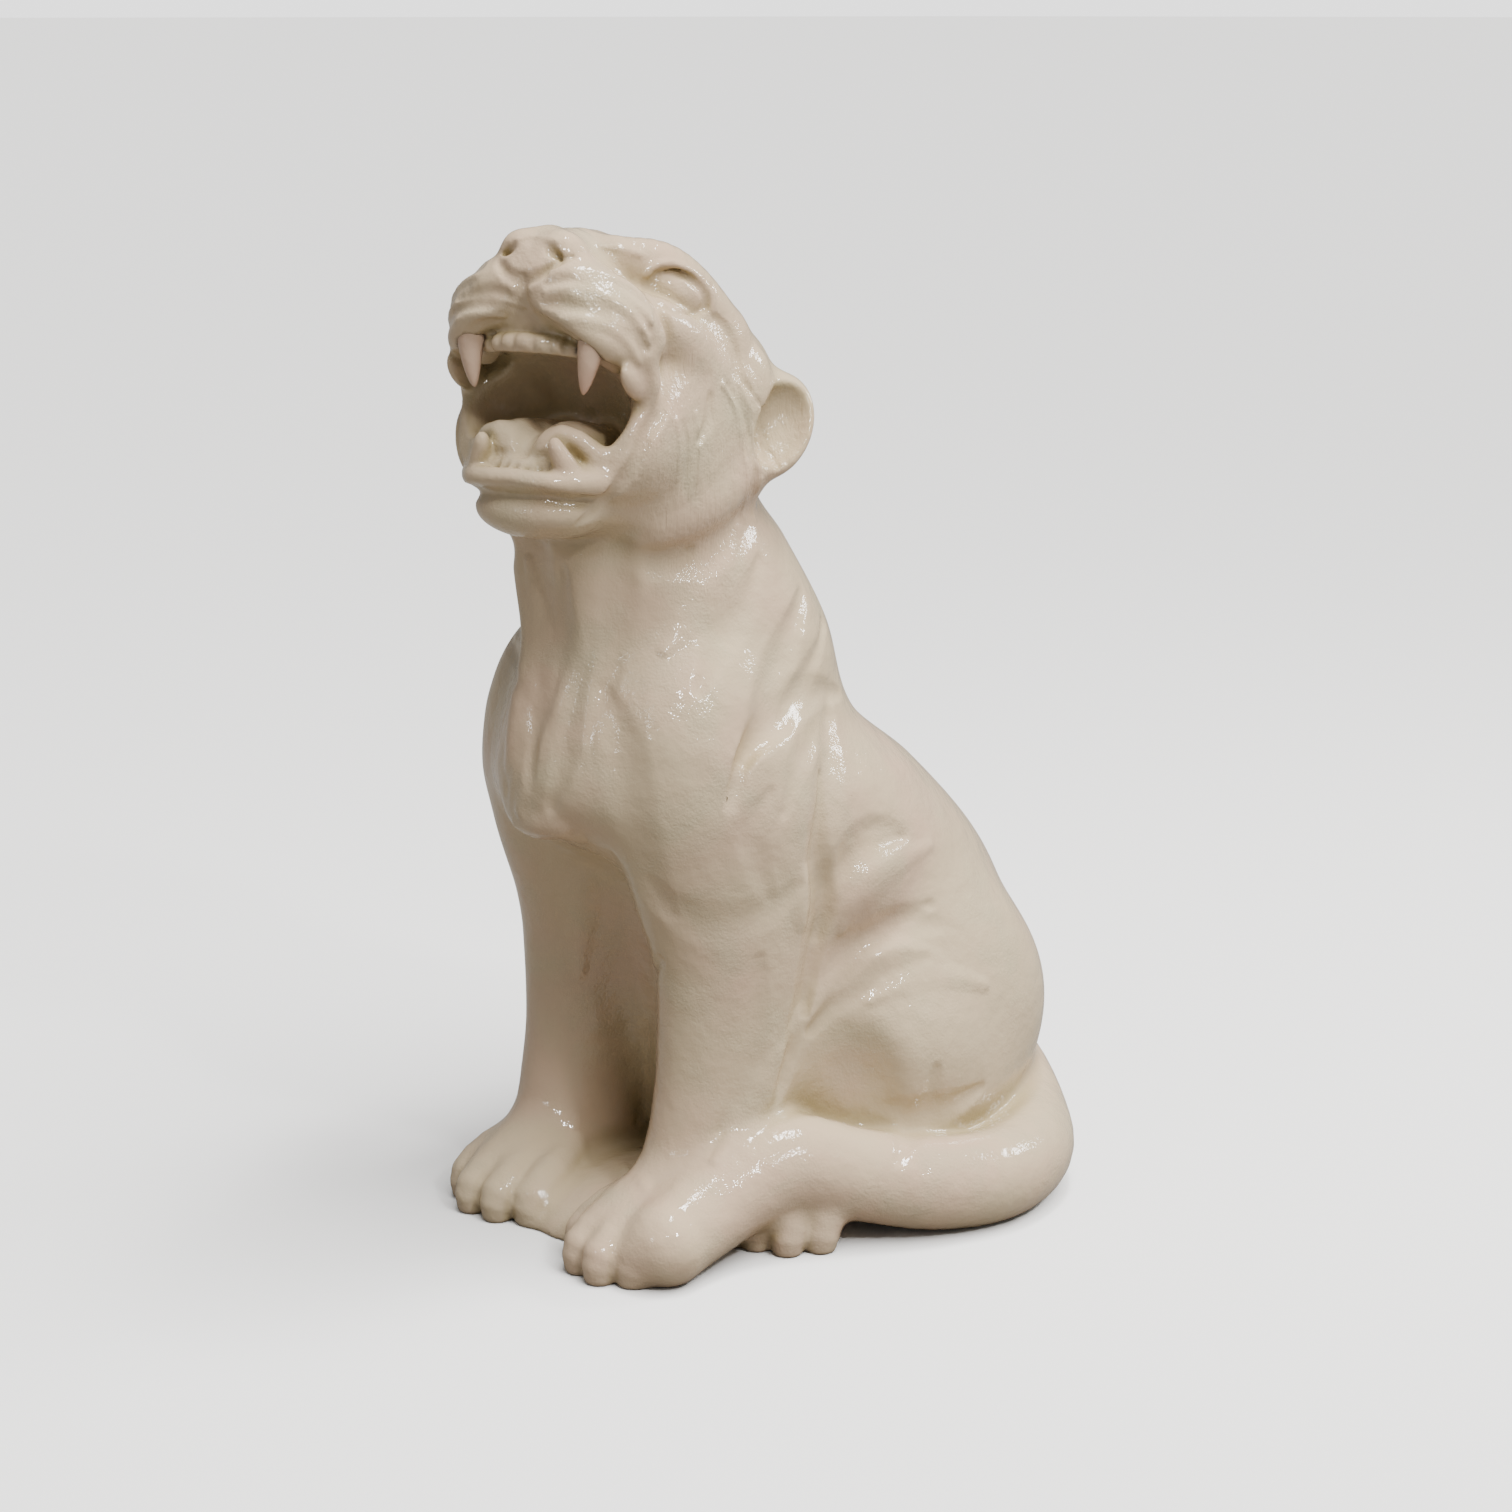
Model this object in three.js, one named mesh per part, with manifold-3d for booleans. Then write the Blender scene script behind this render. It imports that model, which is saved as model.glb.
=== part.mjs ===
// A seated panther figure in glazed ceramic, head turned to its left and raised in a roar.
// Millimetres, +Z up. The figure faces -Y and its left side is +X. The origin is the middle
// of the flat underside. The body is worked like clay: shapes are laid on or pressed in, each
// blended softly into the rest, and the skin of the result becomes one faceted solid.
import * as THREE from "three";
import { mergeVertices } from "three/addons/utils/BufferGeometryUtils.js";
import Module from "manifold-3d";

const wasm = await Module();
wasm.setup();

// Driving dimensions: the finished height and the gap round each fang.
const HEIGHT = 860;
const GAP = 0.3;

// The clay is worked a little off the middle of its own grid and goes on below the ground,
// where it is cut flat. The skin is taken on cubes of one cell and kept to so many facets.
const MIDDLE = [29, 43];
const SUNK = -16;
const CELL = 4;
const BODY_TRIANGLES = 9300;

// Lengths too small and too large to matter.
const TINY = 1e-6;
const FAR = 1000;

const GLAZE = 0xe6dfcf;
const FANG_GLAZE = 0xe9ddcf;

// The head's own frame: middle of the skull, nose along -Y, top +Z. The jaw hangs on its hinge.
const LEVEL = [0, 0, 0];
const GROUND = frame([0, 0, 0], LEVEL);
const HEAD = frame([-6, -89, 739], [-38, 0, 20]);
const JAW = frame([0, 30, -85], [38, 0, 0], HEAD);
const BOTH = true;
const ONE = false;

// Frames and turns.
function turned([degX, degY, degZ]) {
  const euler = new THREE.Euler(rad(degX), rad(degY), rad(degZ), "ZYX");
  return new THREE.Matrix4().makeRotationFromEuler(euler);
}

function rad(degrees) {
  return THREE.MathUtils.degToRad(degrees);
}

function frame(at, turn, parent) {
  const place = turned(turn).setPosition(...at);
  if (parent) {
    place.premultiply(parent.place);
  }
  return { place, back: place.clone().invert().elements };
}

// Shapes. Each gives its distance from a point and a ball that holds it.
function egg(centre, radii, turn = LEVEL) {
  const m = turned(turn).transpose().elements;
  const [a, b, c] = radii;
  return {
    centre,
    reach: Math.max(a, b, c),
    distance(px, py, pz) {
      const x = px - centre[0];
      const y = py - centre[1];
      const z = pz - centre[2];
      const u = (m[0] * x + m[4] * y + m[8] * z) / a;
      const v = (m[1] * x + m[5] * y + m[9] * z) / b;
      const w = (m[2] * x + m[6] * y + m[10] * z) / c;
      return ovalDistance(Math.hypot(u, v, w), Math.hypot(u / a, v / b, w / c), Math.min(a, b, c));
    },
  };
}

function ovalDistance(near, slope, inner) {
  return slope < TINY ? -inner : (near * (near - 1)) / slope;
}

// A limb is a soft tube through rows of [x, y, z, radius], eased between the rows. With
// `share` its distance is told as a share of the radius instead.
function limb(rows, steps = 4, share = false) {
  const links = eased(rows, steps);
  const centre = [0, 1, 2].map((i) => middleOf(rows.map((row) => row[i])));
  const reach = Math.max(...links.map(([x, y, z, radius]) => {
    return Math.hypot(x - centre[0], y - centre[1], z - centre[2]) + radius;
  }));
  return {
    centre,
    reach,
    distance(x, y, z) {
      let best = Infinity;
      for (let i = 1; i < links.length; i++) {
        best = Math.min(best, linkDistance(links[i - 1], links[i], x, y, z, share));
      }
      return best;
    },
  };
}

function middleOf(numbers) {
  return (Math.min(...numbers) + Math.max(...numbers)) / 2;
}

function linkDistance(from, to, px, py, pz, share) {
  const x = to[0] - from[0];
  const y = to[1] - from[1];
  const z = to[2] - from[2];
  const dx = px - from[0];
  const dy = py - from[1];
  const dz = pz - from[2];
  const along = Math.min(Math.max((dx * x + dy * y + dz * z) / (x * x + y * y + z * z), 0), 1);
  const off = Math.sqrt((dx - along * x) ** 2 + (dy - along * y) ** 2 + (dz - along * z) ** 2);
  const radius = from[3] + along * (to[3] - from[3]);
  return share ? off / radius : off - radius;
}

function eased(rows, steps) {
  const out = [];
  for (let i = 0; i < rows.length - 1; i++) {
    const before = rows[i - 1] ?? rows[i].map((v, k) => 2 * v - rows[i + 1][k]);
    const after = rows[i + 2] ?? rows[i + 1].map((v, k) => 2 * v - rows[i][k]);
    for (let step = 0; step < steps; step++) {
      out.push(rows[i].map((v, k) => throughFour(before[k], v, rows[i + 1][k], after[k], step / steps)));
    }
  }
  out.push(rows[rows.length - 1]);
  return out;
}

function throughFour(a, b, c, d, t) {
  const square = (2 * a - 5 * b + 4 * c - d) * t * t;
  const cube = (3 * b - a - 3 * c + d) * t ** 3;
  return (2 * b + (c - a) * t + square + cube) / 2;
}

// A trunk stands on end: rows of [z, middle x, middle y, half width, half depth], low to high.
// Its upper end is rounded over.
const TRUNK_END = 20;

function trunk(rows) {
  const low = rows[0][0];
  const high = rows[rows.length - 1][0];
  const slopes = rows.map((row, i) => {
    const a = rows[Math.max(i - 1, 0)];
    const b = rows[Math.min(i + 1, rows.length - 1)];
    return row.map((v, k) => (b[k] - a[k]) / (b[0] - a[0]));
  });
  const widest = Math.max(...rows.map((r) => Math.abs(r[1]) + r[3]));
  const front = Math.min(...rows.map((r) => r[2] - r[4]));
  const rear = Math.max(...rows.map((r) => r[2] + r[4]));
  const centre = [0, (front + rear) / 2, (low + high) / 2];
  const section = [0, 0, 0, 0, 0];
  return {
    centre,
    reach: Math.hypot(widest, (rear - front) / 2, (high - low) / 2),
    distance(x, y, z) {
      sectionAt(rows, slopes, Math.min(Math.max(z, low), high), section);
      const [, mx, my, a, b] = section;
      const u = (x - mx) / a;
      const v = (y - my) / b;
      const side = ovalDistance(Math.hypot(u, v), Math.hypot(u / a, v / b), Math.min(a, b));
      return -blended(-side, high - z, TRUNK_END);
    },
  };
}

function sectionAt(rows, slopes, z, out) {
  let i = 0;
  while (i < rows.length - 2 && rows[i + 1][0] <= z) {
    i += 1;
  }
  const span = rows[i + 1][0] - rows[i][0];
  const t = (z - rows[i][0]) / span;
  const rise = t * t * (3 - 2 * t);
  for (let k = 1; k < 5; k++) {
    const leave = (t ** 3 - 2 * t * t + t) * slopes[i][k] * span;
    const arrive = (t ** 3 - t * t) * slopes[i + 1][k] * span;
    out[k] = rows[i][k] + rise * (rows[i + 1][k] - rows[i][k]) + leave + arrive;
  }
}

// Two distances joined with a soft fillet about as wide as `soft`.
function blended(a, b, soft) {
  const h = Math.max(soft - Math.abs(a - b), 0) / soft;
  return Math.min(a, b) - (h * h * soft) / 4;
}

// The strokes of clay, in the order they are worked.
const strokes = [];

function lay(shape, soft, sides = ONE, home = GROUND) {
  strokes.push(stroke(shape, soft, false, sides, home));
}

function press(shape, soft, sides = ONE, home = GROUND) {
  strokes.push(stroke(shape, soft, true, sides, home));
}

// A crease runs along the skin through rows of [x, y, z, width]; a negative depth is a ridge.
function crease(rows, depth, sides = ONE, home = GROUND) {
  strokes.push({ ...stroke(limb(rows, 4, true), 0, false, sides, home), depth });
}

function stroke(shape, soft, pressed, mirrored, home) {
  const m = home.back;
  const [cx, cy, cz] = shape.centre;
  const centres = [new THREE.Vector3(cx, cy, cz).applyMatrix4(home.place)];
  if (mirrored) {
    centres.push(new THREE.Vector3(-cx, cy, cz).applyMatrix4(home.place));
  }
  return {
    soft,
    pressed,
    reach: shape.reach,
    centres,
    distance(x, y, z) {
      const u = m[0] * x + m[4] * y + m[8] * z + m[12];
      const v = m[1] * x + m[5] * y + m[9] * z + m[13];
      const w = m[2] * x + m[6] * y + m[10] * z + m[14];
      return shape.distance(mirrored ? Math.abs(u) : u, v, w);
    },
  };
}

function clayAt(active, x, y, z) {
  let distance = FAR;
  for (const one of active) {
    const d = one.distance(x, y, z);
    if (one.depth) {
      distance += one.depth * Math.max(1 - d * d, 0) ** 2;
    } else {
      distance = one.pressed ? -blended(-distance, d, one.soft) : blended(distance, d, one.soft);
    }
  }
  return Math.max(distance, SUNK - z);
}

// Body, from the rump up to the neck.
function torso() {
  lay(trunk([
    [-20, 0, 155, 140, 150],
    [0, 0, 152, 150, 160],
    [80, 0, 142, 164, 182],
    [155, 0, 140, 165, 196],
    [230, 0, 122, 155, 193],
    [300, 2, 85, 151, 187],
    [375, 1, 3, 147, 196],
    [430, 4, -34, 127, 163],
    [513, 5, -37, 111, 135],
    [585, 2, -60, 95, 118],
    [625, -1, -74, 85, 106],
    [700, 0, -72, 84, 100],
  ]), 20);
  lay(egg([86, -66, 366], [61, 86, 142], [8, 0, 0]), 40, BOTH);
}

// Folded thighs with the knee, the fold of skin above it and the hollow in front.
function haunches() {
  lay(egg([114, 144, 152], [72, 140, 120]), 40, BOTH);
  lay(egg([128, 118, 102], [62, 96, 82]), 30, BOTH);
  lay(egg([152, 100, 152], [40, 60, 56]), 24, BOTH);
  press(egg([176, 10, 116], [32, 40, 62]), 30, BOTH);
  lay(egg([126, 50, 298], [30, 42, 36], [20, 0, 0]), 30, BOTH);
  crease([[146, 0, 306, 20], [150, 30, 334, 24], [150, 62, 346, 22], [146, 92, 336, 14]], 7, BOTH);
  crease([[144, -8, 200, 18], [154, 30, 222, 26], [164, 70, 232, 26], [168, 108, 226, 16]], -7, BOTH);
  crease([[148, 14, 238, 16], [160, 52, 256, 24], [166, 92, 260, 22], [166, 126, 252, 14]], 6, BOTH);
  crease([[182, 44, 112, 16], [194, 72, 100, 22], [198, 104, 98, 22], [190, 144, 106, 14]], 8, BOTH);
}

function forelegs() {
  lay(trunk([
    [0, 88, -70, 47, 60],
    [70, 90, -66, 48, 66],
    [150, 91, -47, 54, 73],
    [260, 93, -41, 61, 80],
    [360, 88, -46, 62, 84],
    [420, 84, -50, 58, 80],
  ]), 30, BOTH);
}

// Strained cords of the throat, the point of the breastbone and the hollow between the legs.
function chest() {
  crease([
    [-46, -156, 615, 24],
    [-36, -170, 550, 26],
    [-20, -182, 490, 24],
    [-12, -190, 430, 22],
    [-8, -186, 372, 14],
  ], -10);
  crease([[34, -150, 606, 22], [38, -166, 550, 24], [34, -178, 490, 18]], -9);
  crease([[-6, -176, 606, 22], [4, -184, 550, 24], [12, -190, 490, 24], [14, -190, 430, 14]], 9);
  crease([[-74, -138, 600, 22], [-66, -156, 550, 24], [-52, -176, 480, 18]], 8);
  crease([[66, -142, 596, 20], [70, -156, 540, 24], [66, -168, 480, 16]], 7);
  lay(egg([44, -74, 636], [46, 60, 60]), 30, BOTH);
  lay(egg([-6, -176, 366], [34, 20, 20]), 24);
  press(egg([2, -128, 200], [34, 54, 122]), 24);
  crease([[-44, -104, 300, 20], [-46, -104, 262, 26], [-46, -102, 226, 18]], -7);
}

// Shoulder muscle, the two furrows over the blade, the crease behind it and the elbow.
function shoulders() {
  lay(egg([98, -84, 392], [42, 58, 106], [8, 0, 0]), 36, BOTH);
  crease([[96, 60, 452, 18], [128, 6, 466, 26], [142, -38, 458, 28], [146, -80, 440, 18]], 8, BOTH);
  crease([[98, 18, 532, 18], [122, -18, 502, 28], [138, -54, 464, 28], [146, -90, 420, 18]], 8, BOTH);
  crease([
    [124, 34, 430, 20],
    [146, 6, 391, 26],
    [152, -10, 343, 24],
    [150, -8, 273, 22],
    [142, -32, 163, 20],
  ], 11, BOTH);
  crease([[148, -28, 322, 14], [150, -28, 302, 18], [149, -28, 282, 14]], -6, BOTH);
}

// A paw is a pad with four long toes; each toe is given by where its tip stands.
function paw(at, turn, toes = [[-38, -84], [-14, -102], [14, -104], [38, -88]]) {
  const home = frame(at, turn);
  lay(egg([0, -42, 24], [50, 68, 42]), 20, ONE, home);
  lay(limb([[0, 10, 60, 42], [0, -40, 30, 36]], 1), 20, ONE, home);
  for (const [x, y] of toes) {
    const toe = [
      [x * 0.7, y + 55, 46, 12],
      [x * 0.95, y + 20, 38, 15],
      [x, y - 4, 22, 17],
      [x, y - 8, 8, 14],
    ];
    lay(limb(toe, 2), 7, ONE, home);
  }
}

function feet() {
  paw([94, -98, 0], [0, 0, 2], [[-34, -82], [-12, -102], [15, -104], [38, -88]]);
  paw([-86, -86, 0], [0, 0, 7], [[-32, -88], [-6, -106], [24, -105], [50, -91]]);
  paw([100, 37, 0], [0, 0, 30]);
  paw([-112, 44, 0], [0, 0, -18]);
  lay(egg([10, -80, 0], [80, 105, 42]), 20);
  lay(egg([0, 66, 0], [128, 110, 30]), 16);
}

// The tail comes round the left side, climbs over the hind foot and ends by the left paw.
function tail() {
  lay(limb([
    [20, 280, 105, 40],
    [90, 277, 72, 38],
    [151, 248, 46, 38],
    [198, 201, 38, 40],
    [220, 138, 37, 40],
    [207, 75, 42, 40],
    [178, 15, 56, 39],
    [151, -34, 70, 42],
    [138, -76, 60, 42],
    [137, -114, 46, 39],
    [143, -152, 35, 36],
    [147, -166, 32, 35],
  ]), 14);
}

// Skull, muzzle, cheeks, brow and the stretched lip at each side of the open mouth.
function head() {
  lay(egg([0, 30, -6], [88, 106, 91]), 40, ONE, HEAD);
  lay(egg([62, 56, 14], [44, 50, 50]), 30, BOTH, HEAD);
  lay(limb([[0, 0, 48, 46], [0, -80, 25, 37], [0, -128, 3, 28]]), 30, ONE, HEAD);
  lay(egg([0, -90, -20], [70, 66, 40]), 24, ONE, HEAD);
  lay(limb([
    [16, -132, -22, 21],
    [42, -125, -28, 26],
    [64, -108, -31, 27],
    [78, -88, -36, 19],
  ]), 22, BOTH, HEAD);
  lay(egg([66, -30, -8], [34, 60, 28]), 20, BOTH, HEAD);
  lay(egg([60, 30, -62], [44, 82, 84]), 30, BOTH, HEAD);
  lay(limb([[34, -96, 34, 16], [50, -64, 43, 24], [58, -30, 43, 28], [66, 14, 34, 31]]), 16, BOTH, HEAD);
  lay(egg([0, -26, -98], [91, 58, 66]), 16, ONE, HEAD);
  lay(egg([77, -26, -80], [22, 38, 50]), 14, BOTH, HEAD);
  lay(limb([
    [22, -140, -44, 9],
    [40, -136, -51, 10],
    [55, -128, -56, 11],
    [69, -112, -58, 12],
    [80, -90, -54, 11],
  ]), 8, BOTH, HEAD);
  lay(limb([
    [82, -86, -50, 10],
    [86, -64, -66, 9],
    [84, -46, -84, 8],
    [79, -42, -104, 9],
    [70, -42, -122, 12],
  ]), 9, BOTH, HEAD);
}

// The edge of the ruff, standing off the neck from the ear to under the jaw.
function ruff() {
  crease([
    [100, 44, 26, 20],
    [106, 74, -20, 26],
    [106, 72, -66, 28],
    [96, 52, -104, 26],
    [74, 30, -138, 20],
  ], -6, BOTH, HEAD);
  crease([[108, 82, -50, 18], [108, 90, -92, 26], [96, 70, -132, 26], [72, 44, -162, 20]], 5, BOTH, HEAD);
}

// The open mouth and the gum behind the upper lip.
function mouth() {
  press(egg([0, -84, -98], [76, 80, 49], [25, 0, 0]), 8, ONE, HEAD);
  press(limb([
    [0, -142, -60, 16],
    [24, -139, -70, 16],
    [42, -134, -76, 15],
    [58, -125, -82, 14],
  ]), 3, BOTH, HEAD);
  press(egg([0, -46, -104], [60, 60, 44], [25, 0, 0]), 12, ONE, HEAD);
  lay(limb([
    [62, -88, -54, 12],
    [47, -102, -52, 11],
    [24, -112, -50, 11],
    [0, -115, -50, 11],
  ]), 6, BOTH, HEAD);
}

// Lower jaw: its rolled lip, the chin below, the floor of the mouth and the crease of the chin.
function jaw() {
  lay(limb([
    [70, 0, 6, 24],
    [68, -52, 4, 17],
    [59, -92, 2, 12],
    [42, -119, 3, 10],
    [22, -130, 4, 9],
    [0, -132, 5, 9],
  ]), 8, BOTH, JAW);
  lay(egg([0, -92, -22], [54, 44, 25]), 10, ONE, JAW);
  lay(egg([0, -20, -24], [66, 80, 24]), 20, ONE, JAW);
  crease([[62, -96, -14, 8], [44, -124, -10, 10], [22, -138, -6, 10], [0, -142, -4, 10]], 6, BOTH, JAW);
}

// The tongue lies broad and flat, grooved down its middle, between its two side ridges.
function tongue() {
  lay(limb([[18, 0, 8, 24], [20, -50, 16, 24], [22, -84, 24, 22], [20, -100, 27, 17]]), 12, BOTH, JAW);
  lay(egg([0, -70, 14], [44, 46, 28]), 12, ONE, JAW);
  lay(limb([[30, -104, 38, 8], [42, -100, 34, 8], [53, -90, 22, 9]]), 8, BOTH, JAW);
  crease([
    [0, -20, 40, 10],
    [0, -64, 46, 18],
    [0, -98, 46, 18],
    [0, -114, 34, 12],
    [0, -118, 24, 8],
  ], 9, ONE, JAW);
}

// The nose: wings with their nostrils, the edge of its leather and the cleft of the lip.
function nose() {
  lay(limb([[0, -140, 12, 16], [0, -147, -5, 13], [0, -145, -24, 9]]), 8, ONE, HEAD);
  lay(egg([18, -143, 4], [18, 20, 17]), 10, BOTH, HEAD);
  lay(egg([24, -136, -16], [14, 14, 12]), 10, BOTH, HEAD);
  press(limb([[12, -168, -3, 2.5], [18, -160, -6, 4], [25, -151, -8, 3]]), 4, BOTH, HEAD);
  crease([[38, -143, -8, 4], [25, -152, -17, 9], [12, -157, -27, 8], [0, -156, -31, 8]], 3.5, BOTH, HEAD);
  crease([[0, -158, -28, 4], [0, -152, -40, 9], [0, -146, -50, 12]], 7, ONE, HEAD);
}

// Folds of the whisker pads, and the long fold from the eye round the muzzle to under the jaw.
function folds() {
  crease([[46, -140, 4, 3], [60, -126, 8, 10], [74, -106, 2, 10], [84, -92, -8, 4]], 4, BOTH, HEAD);
  crease([[38, -156, -18, 3], [54, -148, -15, 10], [72, -132, -14, 11], [88, -108, -22, 4]], 4, BOTH, HEAD);
  crease([[40, -156, -34, 3], [56, -148, -32, 10], [74, -134, -32, 11], [90, -108, -38, 4]], 4, BOTH, HEAD);
  crease([
    [58, -94, 24, 3],
    [68, -92, 14, 8],
    [78, -91, 2, 10],
    [86, -88, -10, 10],
    [92, -76, -26, 11],
    [96, -62, -50, 11],
    [94, -54, -80, 10],
    [88, -54, -100, 9],
    [85, -48, -121, 9],
    [74, -42, -142, 9],
    [60, -36, -157, 9],
    [48, -38, -176, 4],
  ], 7, BOTH, HEAD);
}

// The small teeth of both jaws and the lower fangs, all one with the body.
function teeth() {
  lay(limb([[43, -110, -63, 6], [24, -120, -65, 7.5], [0, -123, -66, 8]]), 3, BOTH, HEAD);
  for (const [x, y] of [[9, -131], [23, -128], [35, -121]]) {
    crease([[x, y, -58, 4], [x, y, -66, 4.5], [x, y + 5, -75, 4.5]], 3.5, BOTH, HEAD);
  }
  lay(limb([[36, -106, 3, 14], [0, -112, 3, 15]]), 6, BOTH, JAW);
  lay(limb([[30, -112, 10, 9], [0, -119, 11, 9]]), 3, BOTH, JAW);
  for (const [x, y] of [[0, -129], [10, -128], [20, -125]]) {
    crease([[x, y, 8, 4], [x, y + 2, 16, 4.5], [x, y + 6, 24, 4.5]], 3, BOTH, JAW);
  }
  lay(limb([[41, -110, 4, 12], [39, -116, 16, 10], [35, -121, 29, 7], [34, -122, 34, 5]]), 4, BOTH, JAW);
}

// A round eye deep under its brow.
function eyes() {
  press(egg([65, -46, 38], [19, 34, 18], [10, 0, -22]), 3, BOTH, HEAD);
  lay(egg([52, -42, 29], [23, 34, 21], [10, 0, -22]), 3, BOTH, HEAD);
}

function ears() {
  lay(egg([103, 88, -5], [37, 26, 50], [0, 0, 20]), 14, BOTH, HEAD);
  lay(egg([88, 84, -56], [24, 24, 24]), 16, BOTH, HEAD);
  press(egg([124, 78, -9], [26, 20, 38], [0, 0, 20]), 8, BOTH, HEAD);
}

torso();
haunches();
forelegs();
chest();
shoulders();
feet();
head();
ruff();
mouth();
jaw();
tongue();
nose();
folds();
teeth();
eyes();
ears();
tail();

// The skin of the clay on a grid of cubes, worked out in blocks and only near the surface. The
// distances of blended shapes run a little short or long, which the slack and the margin allow for.
const LOW = [-220, -290, -28];
const HIGH = [290, 370, 880];
const BLOCK = 10;
const SLACK = 1.5;
const MARGIN = 12;

function sampled() {
  const count = LOW.map((low, i) => Math.ceil((HIGH[i] - low) / (CELL * BLOCK)) * BLOCK + 1);
  const values = new Float32Array(count[0] * count[1] * count[2]).fill(FAR);
  const grid = { count, values, step: [1, count[0], count[0] * count[1]] };
  const ball = (BLOCK * CELL * Math.sqrt(3)) / 2;
  for (let k = 0; k < count[2] - 1; k += BLOCK) {
    for (let j = 0; j < count[1] - 1; j += BLOCK) {
      for (let i = 0; i < count[0] - 1; i += BLOCK) {
        const middle = [i, j, k].map((n, axis) => LOW[axis] + (n + BLOCK / 2) * CELL);
        const d = clayAt(strokes, ...middle);
        if (Math.abs(d) < ball * SLACK + MARGIN) {
          fillBlock(grid, i, j, k, near(middle, ball + MARGIN));
        } else if (d < 0) {
          fillBlock(grid, i, j, k, null);
        }
      }
    }
  }
  return grid;
}

function near(middle, reach) {
  const at = new THREE.Vector3(...middle);
  return strokes.filter((s) => s.centres.some((c) => c.distanceTo(at) < s.reach + reach + s.soft));
}

function fillBlock(grid, i0, j0, k0, active) {
  for (let k = k0; k <= k0 + BLOCK; k++) {
    for (let j = j0; j <= j0 + BLOCK; j++) {
      for (let i = i0; i <= i0 + BLOCK; i++) {
        const at = i + j * grid.step[1] + k * grid.step[2];
        const x = LOW[0] + i * CELL;
        const y = LOW[1] + j * CELL;
        const z = LOW[2] + k * CELL;
        grid.values[at] = active ? clayAt(active, x, y, z) : -FAR;
      }
    }
  }
}

// The eight corners of a cell, and which of them are joined by an edge of the cube.
const CORNERS = [...Array(8).keys()].map((n) => [n & 1, (n >> 1) & 1, (n >> 2) & 1]);
const EDGES = [];
for (let a = 0; a < 8; a++) {
  for (const bit of [1, 2, 4]) {
    if (!(a & bit)) {
      EDGES.push([a, a | bit]);
    }
  }
}

function isOnePiece(mask, wanted) {
  const members = [...Array(8).keys()].filter((n) => ((mask >> n) & 1) === wanted);
  const found = new Set(members.slice(0, 1));
  for (let round = 0; round < 8; round++) {
    for (const [a, b] of EDGES) {
      if (members.includes(a) && members.includes(b) && (found.has(a) || found.has(b))) {
        found.add(a).add(b);
      }
    }
  }
  return found.size === members.length;
}

const SIMPLE = [...Array(256).keys()].map((mask) => isOnePiece(mask, 1) && isOnePiece(mask, 0));

function maskAt(grid, offsets, at) {
  let mask = 0;
  for (let n = 0; n < 8; n++) {
    if (grid.values[at + offsets[n]] < 0) {
      mask |= 1 << n;
    }
  }
  return mask;
}

// Where two sheets of skin would meet inside one cell, the thin gap between them is filled.
const PINCH_ROUNDS = 6;
const JUST_INSIDE = -0.01;

function fillPinches(grid, offsets) {
  for (let round = 0; round < PINCH_ROUNDS; round++) {
    for (const at of everyCell(grid)) {
      if (!SIMPLE[maskAt(grid, offsets, at)]) {
        const open = offsets.map((o) => at + o).filter((p) => grid.values[p] >= 0);
        open.sort((p, q) => grid.values[p] - grid.values[q]);
        grid.values[open[0]] = JUST_INSIDE;
      }
    }
  }
}

function* everyCell(grid) {
  const [nx, ny, nz] = grid.count;
  for (let k = 0; k < nz - 1; k++) {
    for (let j = 0; j < ny - 1; j++) {
      const row = j * grid.step[1] + k * grid.step[2];
      for (let i = 0; i < nx - 1; i++) {
        yield row + i;
      }
    }
  }
}

// One point in every cell the skin passes through, and a square round every crossed edge.
function skin() {
  const grid = sampled();
  const offsets = CORNERS.map(([i, j, k]) => i + j * grid.step[1] + k * grid.step[2]);
  fillPinches(grid, offsets);
  const index = new Int32Array(grid.values.length).fill(-1);
  const points = [];
  for (const at of everyCell(grid)) {
    const mask = maskAt(grid, offsets, at);
    if (mask > 0 && mask < 255) {
      index[at] = points.length / 3;
      points.push(...cellPoint(grid, offsets, at));
    }
  }
  return { points, faces: squares(grid, index) };
}

function cellPoint(grid, offsets, at) {
  const sum = [0, 0, 0];
  let crossings = 0;
  for (const [a, b] of EDGES) {
    const va = grid.values[at + offsets[a]];
    const vb = grid.values[at + offsets[b]];
    if (va < 0 !== vb < 0) {
      const t = va / (va - vb);
      CORNERS[a].forEach((c, axis) => {
        sum[axis] += c + t * (CORNERS[b][axis] - c);
      });
      crossings += 1;
    }
  }
  const [nx, ny] = grid.count;
  const cell = [at % nx, Math.floor(at / nx) % ny, Math.floor(at / (nx * ny))];
  return cell.map((c, axis) => LOW[axis] + (c + sum[axis] / crossings) * CELL);
}

function squares(grid, index) {
  const faces = [];
  for (const at of everyCell(grid)) {
    for (let axis = 0; axis < 3; axis++) {
      const inside = grid.values[at] < 0;
      if (inside !== grid.values[at + grid.step[axis]] < 0) {
        const u = grid.step[(axis + 1) % 3];
        const v = grid.step[(axis + 2) % 3];
        const [a, b, c, d] = [at - u - v, at - v, at, at - u].map((cell) => index[cell]);
        faces.push(...(inside ? [a, b, c, a, c, d] : [c, b, a, d, c, a]));
      }
    }
  }
  return faces;
}

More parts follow.
